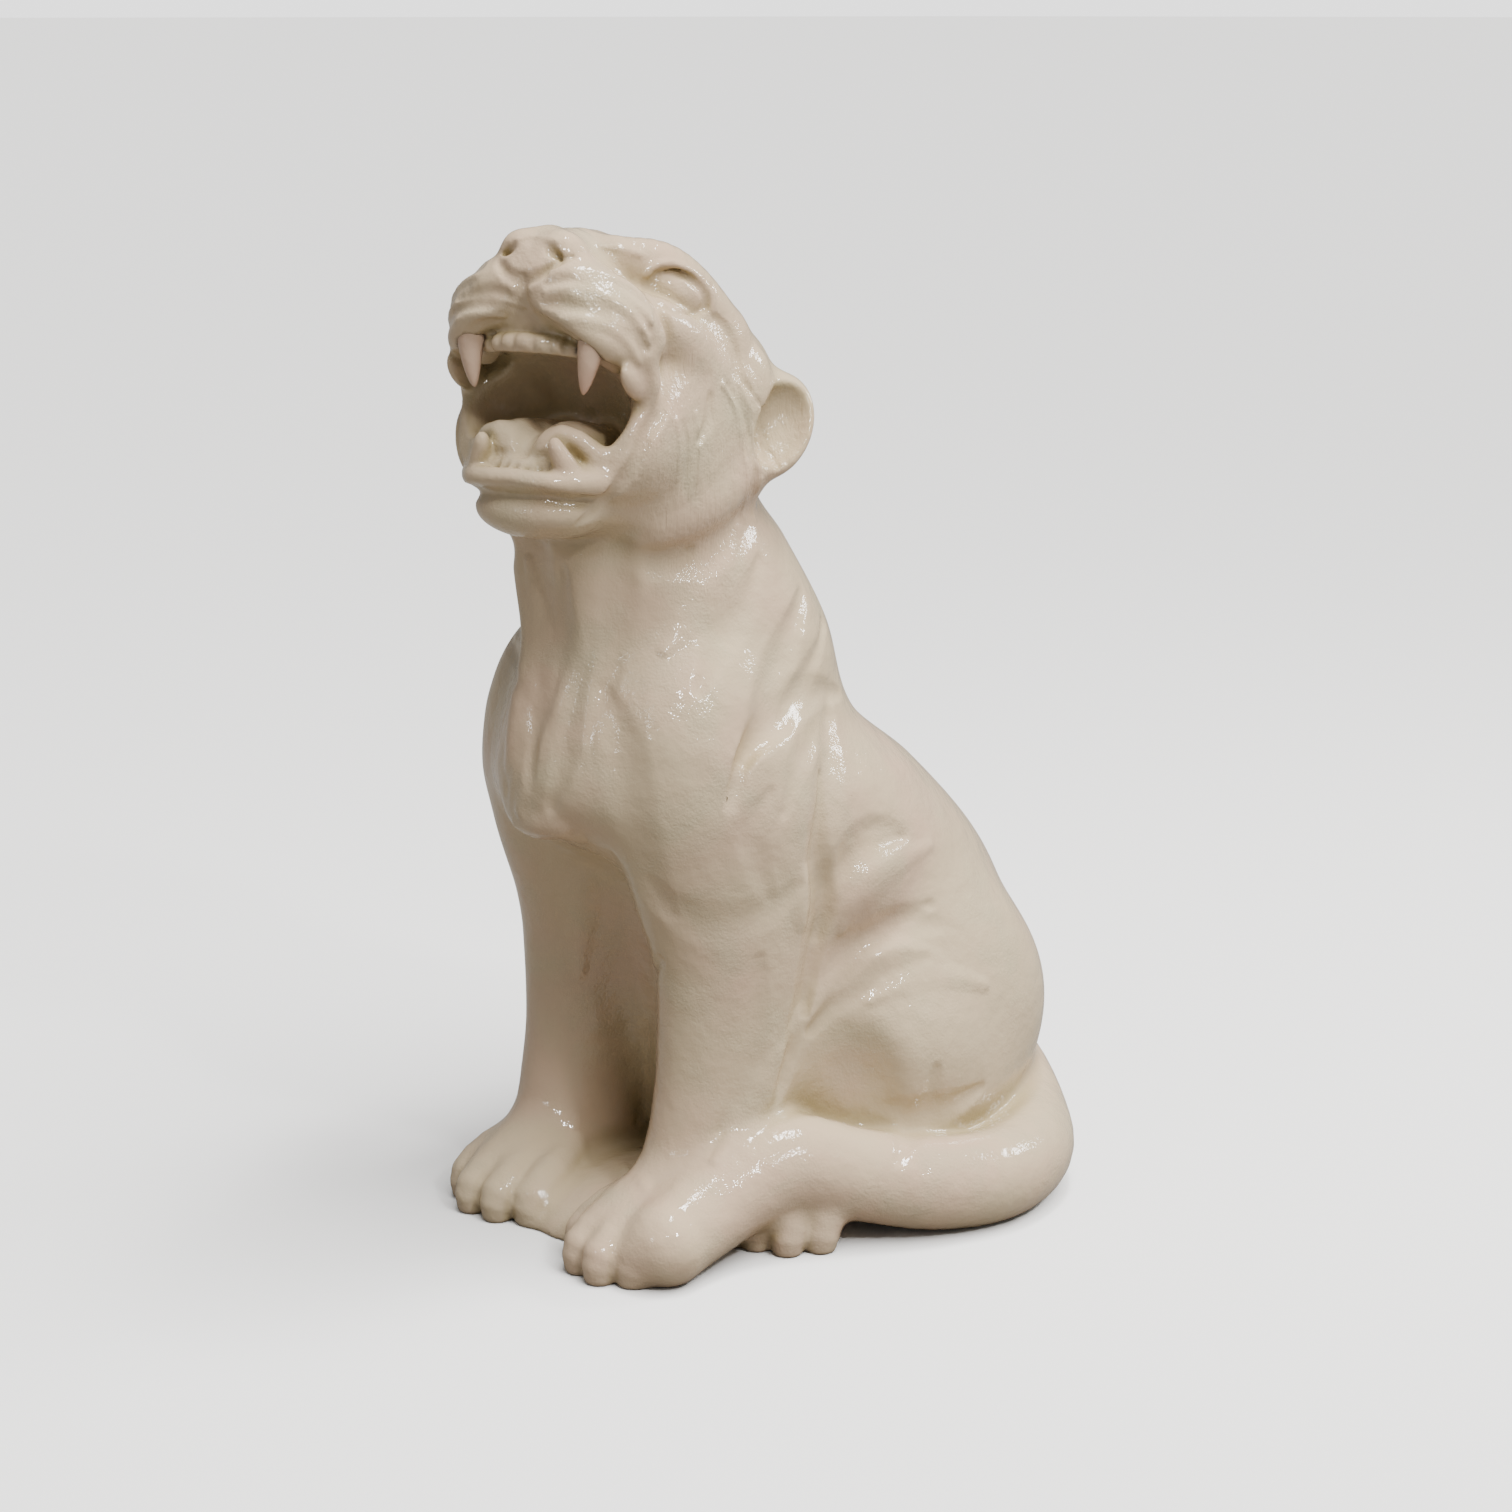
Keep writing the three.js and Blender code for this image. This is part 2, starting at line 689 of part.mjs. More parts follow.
// A heap of edges, the cheapest on top.
class Heap {
  items = [];

  push(item) {
    const items = this.items;
    let i = items.push(item) - 1;
    while (i > 0 && items[(i - 1) >> 1].cost > item.cost) {
      items[i] = items[(i - 1) >> 1];
      i = (i - 1) >> 1;
    }
    items[i] = item;
  }

  pop() {
    const items = this.items;
    const top = items[0];
    const last = items.pop();
    if (items.length) {
      this.sink(last);
    }
    return top;
  }

  sink(item) {
    const items = this.items;
    let i = 0;
    for (;;) {
      let child = 2 * i + 1;
      if (child + 1 < items.length && items[child + 1].cost < items[child].cost) {
        child += 1;
      }
      if (child >= items.length || items[child].cost >= item.cost) {
        break;
      }
      items[i] = items[child];
      i = child;
    }
    items[i] = item;
  }
}

// How much more closely the facets keep to the face, and to the rest of the head, than to the body.
const FACE = new THREE.Vector3(15, -90, -50).applyMatrix4(HEAD.place);
const FACE_REACH = 120;
const FACE_CARE = 30;
const NECK_LEVEL = 600;
const HEAD_CARE = 6;

function careAt(x, y, z) {
  if (Math.hypot(x - FACE.x, y - FACE.y, z - FACE.z) < FACE_REACH) {
    return FACE_CARE;
  }
  return z > NECK_LEVEL ? HEAD_CARE : 1;
}

// A new corner is held lightly to the middle of its edge. No facet may turn past an angle with
// this cosine or grow thinner than this share of its width squared.
const HOLD = 1e-3;
const LEAST_TURN = 0.35;
const LEAST_FULLNESS = 0.035;
const TERMS = 10;

// Fewer, larger facets: edges are drawn together, cheapest first, where the cost is how far
// the new corner lies from the planes of the facets it stands for. Corners of the underside
// stay in the underside.
class Facets {
  constructor({ points, faces }) {
    this.points = Float64Array.from(points);
    this.faces = Int32Array.from(faces);
    this.alive = faces.length / 3;
    const corners = points.length / 3;
    this.planes = new Float64Array(corners * TERMS);
    this.age = new Int32Array(corners);
    this.grounded = new Uint8Array(corners);
    this.touching = Array.from({ length: corners }, () => []);
    for (let f = 0; f < this.alive; f++) {
      this.enter(f);
    }
    for (let v = 0; v < corners; v++) {
      this.grounded[v] = Math.abs(this.points[3 * v + 2]) < WELD ? 1 : 0;
    }
  }

  enter(f) {
    const [nx, ny, nz, area] = this.plane(f);
    const v = this.faces[3 * f];
    const p = this.points;
    const d = -(nx * p[3 * v] + ny * p[3 * v + 1] + nz * p[3 * v + 2]);
    const care = careAt(p[3 * v], p[3 * v + 1], p[3 * v + 2]);
    const n = [nx, ny, nz, d];
    const terms = n.flatMap((first, i) => n.slice(i).map((second) => first * second));
    for (let corner = 0; corner < 3; corner++) {
      const at = this.faces[3 * f + corner];
      this.touching[at].push(f);
      terms.forEach((term, i) => {
        this.planes[at * TERMS + i] += term * area * care;
      });
    }
  }

  plane(f) {
    const p = this.points;
    const [a, b, c] = [0, 1, 2].map((i) => this.faces[3 * f + i] * 3);
    const e = [p[b] - p[a], p[b + 1] - p[a + 1], p[b + 2] - p[a + 2]];
    const g = [p[c] - p[a], p[c + 1] - p[a + 1], p[c + 2] - p[a + 2]];
    const n = [e[1] * g[2] - e[2] * g[1], e[2] * g[0] - e[0] * g[2], e[0] * g[1] - e[1] * g[0]];
    const length = Math.hypot(...n) || TINY ** 2;
    return [n[0] / length, n[1] / length, n[2] / length, length / 2];
  }

  // The best place for the corner that replaces a and b.
  meeting(a, b) {
    const sum = new Array(TERMS);
    for (let i = 0; i < TERMS; i++) {
      sum[i] = this.planes[a * TERMS + i] + this.planes[b * TERMS + i];
    }
    const [xx, xy, xz, xd, yy, yz, yd, zz, zd, dd] = sum;
    const p = this.points;
    const half = [0, 1, 2].map((i) => (p[3 * a + i] + p[3 * b + i]) / 2);
    const hold = HOLD * (xx + yy + zz) + TINY / 1000;
    const solve = new THREE.Matrix3(xx + hold, xy, xz, xy, yy + hold, yz, xz, yz, zz + hold).invert();
    const right = new THREE.Vector3(hold * half[0] - xd, hold * half[1] - yd, hold * half[2] - zd);
    const spot = right.applyMatrix3(solve).toArray();
    if (this.grounded[a] || this.grounded[b]) {
      spot[2] = 0;
      this.keepRim(a, b, spot);
    }
    const [x, y, z] = spot;
    const squares = xx * x * x + yy * y * y + zz * z * z + dd;
    const crossed = xy * x * y + xz * x * z + xd * x + yz * y * z + yd * y + zd * z;
    const error = Math.max(squares + 2 * crossed, 0);
    const cost = error + HOLD * this.apart(3 * a, 3 * b) ** 2;
    return { a, b, spot, cost, age: this.age[a] + this.age[b] };
  }

  apart(i, j) {
    const p = this.points;
    return Math.hypot(p[i] - p[j], p[i + 1] - p[j + 1], p[i + 2] - p[j + 2]);
  }

  // Where only one of the two corners stands on the ground, the new one takes its place.
  keepRim(a, b, spot) {
    if (this.grounded[a] !== this.grounded[b]) {
      const kept = this.grounded[a] ? a : b;
      spot[0] = this.points[3 * kept];
      spot[1] = this.points[3 * kept + 1];
    }
  }

  around(v) {
    const found = new Set();
    for (const f of this.touching[v]) {
      for (let i = 0; i < 3; i++) {
        found.add(this.faces[3 * f + i]);
      }
    }
    found.delete(v);
    return found;
  }

  canMeet({ a, b, spot }) {
    const ringA = this.around(a);
    const ringB = this.around(b);
    let shared = 0;
    for (const v of ringA) {
      shared += ringB.has(v) ? 1 : 0;
    }
    return shared === 2 && this.staysUpright(a, b, spot) && this.staysUpright(b, a, spot);
  }

  staysUpright(moved, other, spot) {
    const kept = this.points.slice(3 * moved, 3 * moved + 3);
    let upright = true;
    for (const f of this.touching[moved]) {
      if (this.faces.subarray(3 * f, 3 * f + 3).includes(other)) {
        continue;
      }
      const before = this.plane(f);
      this.points.set(spot, 3 * moved);
      const after = this.plane(f);
      const width = this.width(f);
      this.points.set(kept, 3 * moved);
      const turn = before[0] * after[0] + before[1] * after[1] + before[2] * after[2];
      if (turn < LEAST_TURN || after[3] < LEAST_FULLNESS * width * width) {
        upright = false;
        break;
      }
    }
    return upright;
  }

  width(f) {
    const [a, b, c] = [0, 1, 2].map((i) => this.faces[3 * f + i] * 3);
    return Math.max(this.apart(a, b), this.apart(b, c), this.apart(c, a));
  }

  meet({ a, b, spot }) {
    this.points.set(spot, 3 * a);
    this.grounded[a] |= this.grounded[b];
    for (let i = 0; i < TERMS; i++) {
      this.planes[a * TERMS + i] += this.planes[b * TERMS + i];
    }
    for (const f of this.touching[b]) {
      const corners = this.faces.subarray(3 * f, 3 * f + 3);
      if (corners.includes(a)) {
        this.drop(f);
      } else {
        corners[corners.indexOf(b)] = a;
        this.touching[a].push(f);
      }
    }
    this.touching[b] = [];
    this.age[a] += 1;
    this.age[b] += 1;
  }

  drop(f) {
    for (let i = 0; i < 3; i++) {
      const v = this.faces[3 * f + i];
      this.touching[v] = this.touching[v].filter((g) => g !== f);
    }
    this.faces.fill(-1, 3 * f, 3 * f + 3);
    this.alive -= 1;
  }

  reduce(wanted) {
    const heap = new Heap();
    for (let v = 0; v < this.age.length; v++) {
      for (const w of this.around(v)) {
        if (w > v) {
          heap.push(this.meeting(v, w));
        }
      }
    }
    while (this.alive > wanted && heap.items.length) {
      const edge = heap.pop();
      if (edge.age === this.age[edge.a] + this.age[edge.b] && this.canMeet(edge)) {
        this.meet(edge);
        for (const w of this.around(edge.a)) {
          heap.push(this.meeting(edge.a, w));
        }
      }
    }
    return this;
  }

  result() {
    const number = new Map();
    const points = [];
    const faces = [];
    for (const v of this.faces) {
      if (v < 0) {
        continue;
      }
      if (!number.has(v)) {
        number.set(v, points.length / 3);
        points.push(...this.points.subarray(3 * v, 3 * v + 3));
      }
      faces.push(number.get(v));
    }
    return { points, faces };
  }
}

// Solids. Corners closer than the weld are one corner.
const WELD = 1e-3;

function solidOf({ points, faces }) {
  const mesh = new wasm.Mesh({
    numProp: 3,
    vertProperties: Float32Array.from(points),
    triVerts: Uint32Array.from(faces),
  });
  return new wasm.Manifold(mesh);
}

function facesOf(solid) {
  const mesh = solid.getMesh();
  return { points: Array.from(mesh.vertProperties), faces: Array.from(mesh.triVerts) };
}

function welded(geometry) {
  geometry.deleteAttribute("normal");
  geometry.deleteAttribute("uv");
  const merged = mergeVertices(geometry, WELD);
  const index = Array.from(merged.index.array);
  const faces = [];
  for (let i = 0; i < index.length; i += 3) {
    const [a, b, c] = index.slice(i, i + 3);
    if (a !== b && b !== c && c !== a) {
      faces.push(a, b, c);
    }
  }
  return { points: Array.from(merged.attributes.position.array), faces };
}

// Upper fangs: turned cones with a root that sits in the gum. Rows of [along, radius], where
// nought is the edge of the gum and the point is rounded off just past the last row. The flat
// sides of a socket come closer to the fang than its corners do, which the allowance makes up.
const FANG_ROWS = [
  [-14, 6.5],
  [-12, 9],
  [-4, 11.5],
  [4, 11.5],
  [16, 9.4],
  [28, 6.4],
  [36, 3.8],
  [41, 1.4],
];
const FANG_SIDES = 12;
const FANG_POINT = 1;
const FANG_BASE = [56, -118, -58];
const FANG_TIP = [51, -99, -92];
const FLATS_ALLOWANCE = 1.3;

function fang(side, extra) {
  const first = FANG_ROWS[0];
  const last = FANG_ROWS[FANG_ROWS.length - 1];
  const outline = [new THREE.Vector2(0, first[0] - extra)];
  for (const [along, radius] of FANG_ROWS) {
    const end = (along === first[0] ? -extra : 0) + (along === last[0] ? extra : 0);
    outline.push(new THREE.Vector2(radius + FLATS_ALLOWANCE * extra, along + end));
  }
  outline.push(new THREE.Vector2(0, last[0] + FANG_POINT + FLATS_ALLOWANCE ** 2 * extra));
  const geometry = new THREE.LatheGeometry(outline, FANG_SIDES);
  const base = new THREE.Vector3(side * FANG_BASE[0], FANG_BASE[1], FANG_BASE[2]);
  const tip = new THREE.Vector3(side * FANG_TIP[0], FANG_TIP[1], FANG_TIP[2]);
  const aim = tip.sub(base).normalize();
  const turn = new THREE.Quaternion().setFromUnitVectors(new THREE.Vector3(0, 1, 0), aim);
  geometry.applyQuaternion(turn);
  geometry.translate(...base.toArray());
  geometry.applyMatrix4(HEAD.place);
  return solidOf(welded(geometry));
}

// The body is cut flat on the ground and given a socket for each upper fang.
function body() {
  const raw = solidOf(skin());
  const block = new THREE.BoxGeometry(FAR, FAR, FAR).translate(0, 0, FAR / 2);
  const standing = raw.intersect(solidOf(welded(block)));
  const facets = new Facets(facesOf(standing)).reduce(BODY_TRIANGLES).result();
  return solidOf(facets).subtract(fang(1, GAP)).subtract(fang(-1, GAP));
}

function finished(solid, name, colour, roughness, scale) {
  const { points, faces } = facesOf(solid);
  const geometry = new THREE.BufferGeometry();
  geometry.setAttribute("position", new THREE.Float32BufferAttribute(points, 3));
  geometry.setIndex(faces);
  geometry.translate(-MIDDLE[0], -MIDDLE[1], 0);
  geometry.scale(scale, scale, scale);
  geometry.computeVertexNormals();
  const material = new THREE.MeshStandardMaterial({ color: colour, roughness, metalness: 0 });
  const mesh = new THREE.Mesh(geometry, material);
  mesh.name = name;
  return mesh;
}

const panther = body();
const scale = HEIGHT / panther.boundingBox().max[2];
const figure = new THREE.Group();
figure.name = "panther_figure";
figure.add(finished(panther, "panther_body", GLAZE, 0.16, scale));
figure.add(finished(fang(1, 0), "fang_left", FANG_GLAZE, 0.14, scale));
figure.add(finished(fang(-1, 0), "fang_right", FANG_GLAZE, 0.14, scale));

export default figure;
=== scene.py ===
# A seated panther figure in glazed ceramic, head turned to its left and raised in a roar.
# The figure is worked like clay, in millimetres: shapes are laid on or pressed in, each
# blended softly into the rest, creases run along the skin, and the skin of the result
# becomes one fine mesh. It faces -Y and its left side is +X. The finish is a clear glaze
# over cream clay, with its peeled and pinholed places, and its hollows darkened, partly by glaze gathered
# there and partly by painted shade.
import math
from concurrent.futures import ThreadPoolExecutor

import bpy
import numpy as np
from mathutils import Matrix, Vector


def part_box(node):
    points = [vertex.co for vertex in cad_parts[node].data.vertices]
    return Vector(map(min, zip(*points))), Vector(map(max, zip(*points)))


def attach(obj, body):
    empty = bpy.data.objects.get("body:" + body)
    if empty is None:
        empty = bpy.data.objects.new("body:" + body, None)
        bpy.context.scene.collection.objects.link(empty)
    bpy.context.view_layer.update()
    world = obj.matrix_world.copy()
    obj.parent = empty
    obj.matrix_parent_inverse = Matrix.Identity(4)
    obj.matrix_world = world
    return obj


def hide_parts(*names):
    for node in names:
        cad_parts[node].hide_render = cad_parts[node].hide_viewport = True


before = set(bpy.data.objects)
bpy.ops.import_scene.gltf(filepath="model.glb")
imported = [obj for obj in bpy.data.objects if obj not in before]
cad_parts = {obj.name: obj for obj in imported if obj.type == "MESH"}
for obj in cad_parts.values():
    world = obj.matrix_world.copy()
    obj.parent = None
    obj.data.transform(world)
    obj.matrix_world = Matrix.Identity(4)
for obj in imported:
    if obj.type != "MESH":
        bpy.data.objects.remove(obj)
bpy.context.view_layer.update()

# The grid that the clay's skin is taken from: its cell, how many cells make one of the wide
# first grid, how near the skin the fine grid is worked, the space it fills, and the most
# triangles that are kept of it.
CELL = 2.0
TRIANGLES = 196_000
FINER = 3
BAND = 3.0 * CELL
LOW = np.array([-220.0, -290.0, -20.0], np.float32)
HIGH = np.array([290.0, 370.0, 870.0], np.float32)

# The clay is worked out in blocks: their sizes, how far from the skin it is still true, and a
# distance that stands for open air.
BLOCK = 32.0
WIDE_BLOCK = 70.0
MARGIN = 10.0
OPEN_AIR = 1e3
TINY = 1e-6
WORKERS = 4

# The point of the clay that stands on the frame's origin, and the level that all clay ends at.
MIDDLE = (29.0, 43.0, 0.0)
SUNK = -16.0
MM = 0.001

# A stroke is worked on both sides, or on one.
BOTH = True
ONE = False


# Frames and turns. A turn is given in degrees about x, then y, then z.
def turning(turn):
    rad_x, rad_y, rad_z = (math.radians(angle) for angle in turn)
    about_y = Matrix.Rotation(rad_y, 3, "Y")
    turned = Matrix.Rotation(rad_z, 3, "Z") @ about_y @ Matrix.Rotation(rad_x, 3, "X")
    return np.array(turned, np.float32)


class Home:
    """A frame of its own for a group of strokes, such as the head's."""

    def __init__(self, at, turn, parent=None):
        self.at = np.array(at, np.float32)
        self.turn = turning(turn)
        if parent:
            self.at = parent.at + parent.turn @ self.at
            self.turn = parent.turn @ self.turn

    def inside(self, points):
        return (points - self.at) @ self.turn

    def outside(self, point):
        return self.at + self.turn @ np.array(point, np.float32)


GROUND = Home([0, 0, 0], [0, 0, 0])
HEAD = Home([-6, -89, 739], [-38, 0, 20])
JAW = Home([0, 30, -85], [38, 0, 0], HEAD)


# Shapes. Each gives the distance of many points from it, and a ball that holds it.
class Egg:
    def __init__(self, centre, radii, turn=(0, 0, 0)):
        self.centre = np.array(centre, np.float32)
        self.radii = np.array(radii, np.float32)
        self.turn = turning(turn)
        self.reach = float(max(radii))

    def distance(self, points):
        offset = (points - self.centre) @ self.turn
        near = np.sqrt(((offset / self.radii) ** 2).sum(1))
        slope = np.sqrt(((offset / self.radii**2) ** 2).sum(1))
        return near * (near - 1) / np.maximum(slope, TINY)


class Limb:
    """A soft tube through rows of [x, y, z, radius], eased between the rows."""

    def __init__(self, rows, steps=4, share=False):
        links = eased(np.array(rows, np.float32), steps)
        self.share = share
        self.centre = (links[:, :3].max(0) + links[:, :3].min(0)) / 2
        self.reach = float((np.linalg.norm(links[:, :3] - self.centre, axis=1) + links[:, 3]).max())
        self.starts = links[:-1, :3]
        self.spans = np.diff(links[:, :3], axis=0)
        self.lengths = (self.spans**2).sum(1)
        self.radii = links[:-1, 3]
        self.widenings = np.diff(links[:, 3])

    def distance(self, points):
        from_start = points[:, None, :] - self.starts
        along = np.clip(np.einsum("pls,ls->pl", from_start, self.spans) / self.lengths, 0, 1)
        aside = from_start - along[:, :, None] * self.spans
        off = np.sqrt(np.einsum("pls,pls->pl", aside, aside))
        radius = self.radii + along * self.widenings
        return (off / radius if self.share else off - radius).min(1)


def eased(rows, steps):
    """The rows with `steps` of a smooth curve from each to the next."""
    ends = np.vstack([2 * rows[0] - rows[1], rows, 2 * rows[-1] - rows[-2]])
    out = []
    for a, b, c, d in zip(ends[:-3], ends[1:-2], ends[2:-1], ends[3:]):
        for step in range(steps):
            t = step / steps
            curve = (2 * a - 5 * b + 4 * c - d) * t * t + (3 * b - a - 3 * c + d) * t**3
            out.append((2 * b + (c - a) * t + curve) / 2)
    out.append(rows[-1])
    return np.array(out, np.float32)


class Trunk:
    """A standing body of oval sections: rows of [z, middle x, middle y, half width, half depth]."""

    TOP_SOFT = 20.0

    def __init__(self, rows):
        self.rows = np.array(rows, np.float32)
        self.slopes = np.empty_like(self.rows)
        for i in range(len(rows)):
            below = self.rows[max(i - 1, 0)]
            above = self.rows[min(i + 1, len(rows) - 1)]
            self.slopes[i] = (above - below) / (above[0] - below[0])
        height, mid_x, mid_y, half_x, half_y = self.rows.T
        low = np.array([(mid_x - half_x).min(), (mid_y - half_y).min(), height[0]])
        high = np.array([(mid_x + half_x).max(), (mid_y + half_y).max(), height[-1]])
        self.centre = (low + high) / 2
        self.reach = float(np.linalg.norm(high - low) / 2)

    def distance(self, points):
        heights = self.rows[:, 0]
        level = np.clip(points[:, 2], heights[0], heights[-1])
        i = np.clip(np.searchsorted(heights, level, side="right") - 1, 0, len(heights) - 2)
        span = (heights[i + 1] - heights[i])[:, None]
        t = (level - heights[i])[:, None] / span
        section = (1 - t * t * (3 - 2 * t)) * self.rows[i] + t * t * (3 - 2 * t) * self.rows[i + 1]
        leaving, arriving = t**3 - 2 * t * t + t, t**3 - t * t
        section += leaving * self.slopes[i] * span + arriving * self.slopes[i + 1] * span
        x = points[:, 0] - section[:, 1]
        y = points[:, 1] - section[:, 2]
        near = np.hypot(x / section[:, 3], y / section[:, 4])
        slope = np.hypot(x / section[:, 3] ** 2, y / section[:, 4] ** 2)
        side = near * (near - 1) / np.maximum(slope, TINY)
        return -blended(-side, heights[-1] - points[:, 2], self.TOP_SOFT)


def blended(a, b, soft):
    """Two distances joined with a fillet about as wide as `soft`."""
    h = np.maximum(soft - np.abs(a - b), 0) / soft
    return np.minimum(a, b) - h * h * soft / 4


# The strokes of clay, in the order they are worked.
class Stroke:
    def __init__(self, shape, soft, pressed, mirrored, home, depth=0.0):
        self.shape = shape
        self.soft = soft
        self.pressed = pressed
        self.mirrored = mirrored
        self.home = home
        self.depth = depth
        sides = (1, -1) if mirrored else (1,)
        self.centres = [home.outside(shape.centre * np.array([side, 1, 1])).tolist() for side in sides]

    def apply(self, points, distance):
        local = self.home.inside(points) if self.home is not GROUND else points
        if self.mirrored:
            local = local.copy()
            local[:, 0] = np.abs(local[:, 0])
        own = self.shape.distance(local)
        if self.depth:
            return distance + self.depth * np.maximum(1 - own * own, 0) ** 2
        if self.pressed:
            return -blended(-distance, own, self.soft)
        return blended(distance, own, self.soft)

    def reaches(self, middle, reach):
        far = self.shape.reach + reach + self.soft
        return any(math.dist(centre, middle) < far for centre in self.centres)


strokes = []


def lay(shape, soft, sides=ONE, home=GROUND):
    strokes.append(Stroke(shape, soft, False, sides, home))


def press(shape, soft, sides=ONE, home=GROUND):
    strokes.append(Stroke(shape, soft, True, sides, home))


def crease(rows, depth, sides=ONE, home=GROUND):
    """A crease along rows of [x, y, z, width]; a negative depth is a ridge."""
    strokes.append(Stroke(Limb(rows, share=True), 0.0, False, sides, home, depth))


def clay_near(points, size=BLOCK):
    """The distance of each point from the skin, true within MARGIN of it, worked out block by block."""
    points = points.astype(np.float32)
    block = np.floor((points - LOW) / size).astype(np.int64)
    across = block.max(0) + 1
    key = (block[:, 0] * across[1] + block[:, 1]) * across[2] + block[:, 2]
    order = np.argsort(key, kind="stable")
    groups = np.split(order, np.flatnonzero(np.diff(key[order])) + 1)
    distance = np.empty(len(points), np.float32)
    ball = size * math.sqrt(3) / 2

    def work(group):
        middle = (LOW + (block[group[0]] + 0.5) * size).tolist()
        here = points[group]
        found = np.full(len(group), OPEN_AIR, np.float32)
        for stroke in strokes:
            if stroke.reaches(middle, ball + MARGIN):
                found = stroke.apply(here, found)
        distance[group] = np.maximum(found, SUNK - here[:, 2])

    with ThreadPoolExecutor(WORKERS) as workers:
        list(workers.map(work, groups))
    return distance


# Body, from the rump up to the neck.
def torso():
    lay(Trunk([
        [-20, 0, 155, 140, 150],
        [0, 0, 152, 150, 160],
        [80, 0, 142, 164, 182],
        [155, 0, 140, 165, 196],
        [230, 0, 122, 155, 193],
        [300, 2, 85, 151, 187],
        [375, 1, 3, 147, 196],
        [430, 4, -34, 127, 163],
        [513, 5, -37, 111, 135],
        [585, 2, -60, 95, 118],
        [625, -1, -74, 85, 106],
        [700, 0, -72, 84, 100],
    ]), 20)
    lay(Egg([86, -66, 366], [61, 86, 142], [8, 0, 0]), 40, BOTH)


# Folded thighs with the knee, the fold of skin above it and the hollow in front.
def haunches():
    lay(Egg([114, 144, 152], [72, 140, 120]), 40, BOTH)
    lay(Egg([128, 118, 102], [62, 96, 82]), 30, BOTH)
    lay(Egg([152, 100, 152], [40, 60, 56]), 24, BOTH)
    press(Egg([176, 10, 116], [32, 40, 62]), 30, BOTH)
    lay(Egg([126, 50, 298], [30, 42, 36], [20, 0, 0]), 30, BOTH)
    crease([
        [151, -8, 282, 8],
        [148, 8, 312, 18],
        [150, 34, 334, 22],
        [150, 64, 342, 18],
        [154, 105, 333, 8],
    ], 5, BOTH)
    crease([[138, -19, 186, 8], [154, 30, 222, 24], [164, 70, 232, 24], [166, 125, 220, 8]], -4.5, BOTH)
    crease([[153, 3, 228, 8], [160, 52, 256, 20], [166, 92, 260, 18], [174, 140, 249, 8]], 5, BOTH)
    crease([[161, 38, 106, 8], [192, 64, 102, 18], [198, 104, 98, 20], [195, 147, 106, 8]], 6, BOTH)


# Straight forelegs, set close, from the ground to the shoulders.
def forelegs():
    lay(Trunk([
        [0, 88, -70, 47, 60],
        [70, 90, -66, 48, 66],
        [150, 91, -47, 54, 73],
        [260, 93, -41, 61, 80],
        [360, 88, -46, 62, 84],
        [420, 84, -50, 58, 80],
    ]), 30, BOTH)


# Strained cords of the throat, the point of the breastbone and the hollow between the legs.
def chest():
    crease([
        [-46, -156, 615, 24],
        [-36, -170, 550, 26],
        [-20, -182, 490, 24],
        [-12, -190, 430, 22],
        [-8, -186, 372, 14],
    ], -10)
    crease([[34, -150, 606, 20], [38, -166, 550, 22], [34, -178, 490, 16], [30, -184, 440, 8]], -5)
    crease([
        [-6, -176, 606, 22],
        [4, -184, 550, 24],
        [12, -190, 490, 20],
        [13, -192, 430, 12],
        [14, -208, 395, 8],
    ], 6)
    crease([[-74, -138, 600, 20], [-66, -156, 550, 22], [-52, -176, 480, 14], [-50, -190, 431, 8]], 5)
    crease([[66, -142, 596, 18], [70, -156, 540, 22], [66, -168, 480, 14], [67, -185, 432, 8]], 6)
    lay(Egg([44, -74, 636], [46, 60, 60]), 30, BOTH)
    lay(Egg([-6, -176, 366], [34, 20, 20]), 24)
    press(Egg([2, -128, 200], [34, 54, 122]), 24)
    crease([[-50, -100, 330, 8], [-46, -104, 262, 20], [-52, -100, 200, 8]], -2)


# Shoulder muscle, the two furrows over the blade, the crease behind it and the elbow.
def shoulders():
    lay(Egg([98, -84, 392], [42, 58, 106], [8, 0, 0]), 36, BOTH)
    crease([
        [97, 70, 452, 8],
        [128, 6, 466, 22],
        [142, -38, 458, 22],
        [146, -80, 436, 13],
        [159, -100, 413, 8],
    ], 6, BOTH)
    crease([
        [91, 36, 550, 8],
        [122, -18, 502, 22],
        [138, -54, 464, 22],
        [146, -90, 420, 13],
        [160, -107, 386, 8],
    ], 6, BOTH)
    crease([
        [106, 53, 468, 8],
        [124, 34, 430, 15],
        [146, 6, 391, 26],
        [152, -10, 343, 24],
        [150, -8, 273, 22],
        [142, -32, 163, 14],
        [150, -43, 121, 8],
    ], 6, BOTH)
    crease([[148, -28, 322, 14], [150, -28, 302, 18], [149, -28, 282, 14]], -6, BOTH)


# A paw is a pad with four long toes; each toe is given by where its tip stands.
HIND_TOES = ((-38, -84), (-14, -102), (14, -104), (38, -88))


def paw(at, turn, toes):
    home = Home(at, turn)
    lay(Egg([0, -42, 24], [50, 68, 42]), 20, ONE, home)
    lay(Limb([[0, 10, 60, 42], [0, -40, 30, 36]], 1), 20, ONE, home)
    for x, y in toes:
        toe = [
            [x * 0.7, y + 55, 46, 12],
            [x * 0.95, y + 20, 38, 15],
            [x, y - 4, 22, 17],
            [x, y - 8, 8, 14],
        ]
        lay(Limb(toe, 2), 7, ONE, home)


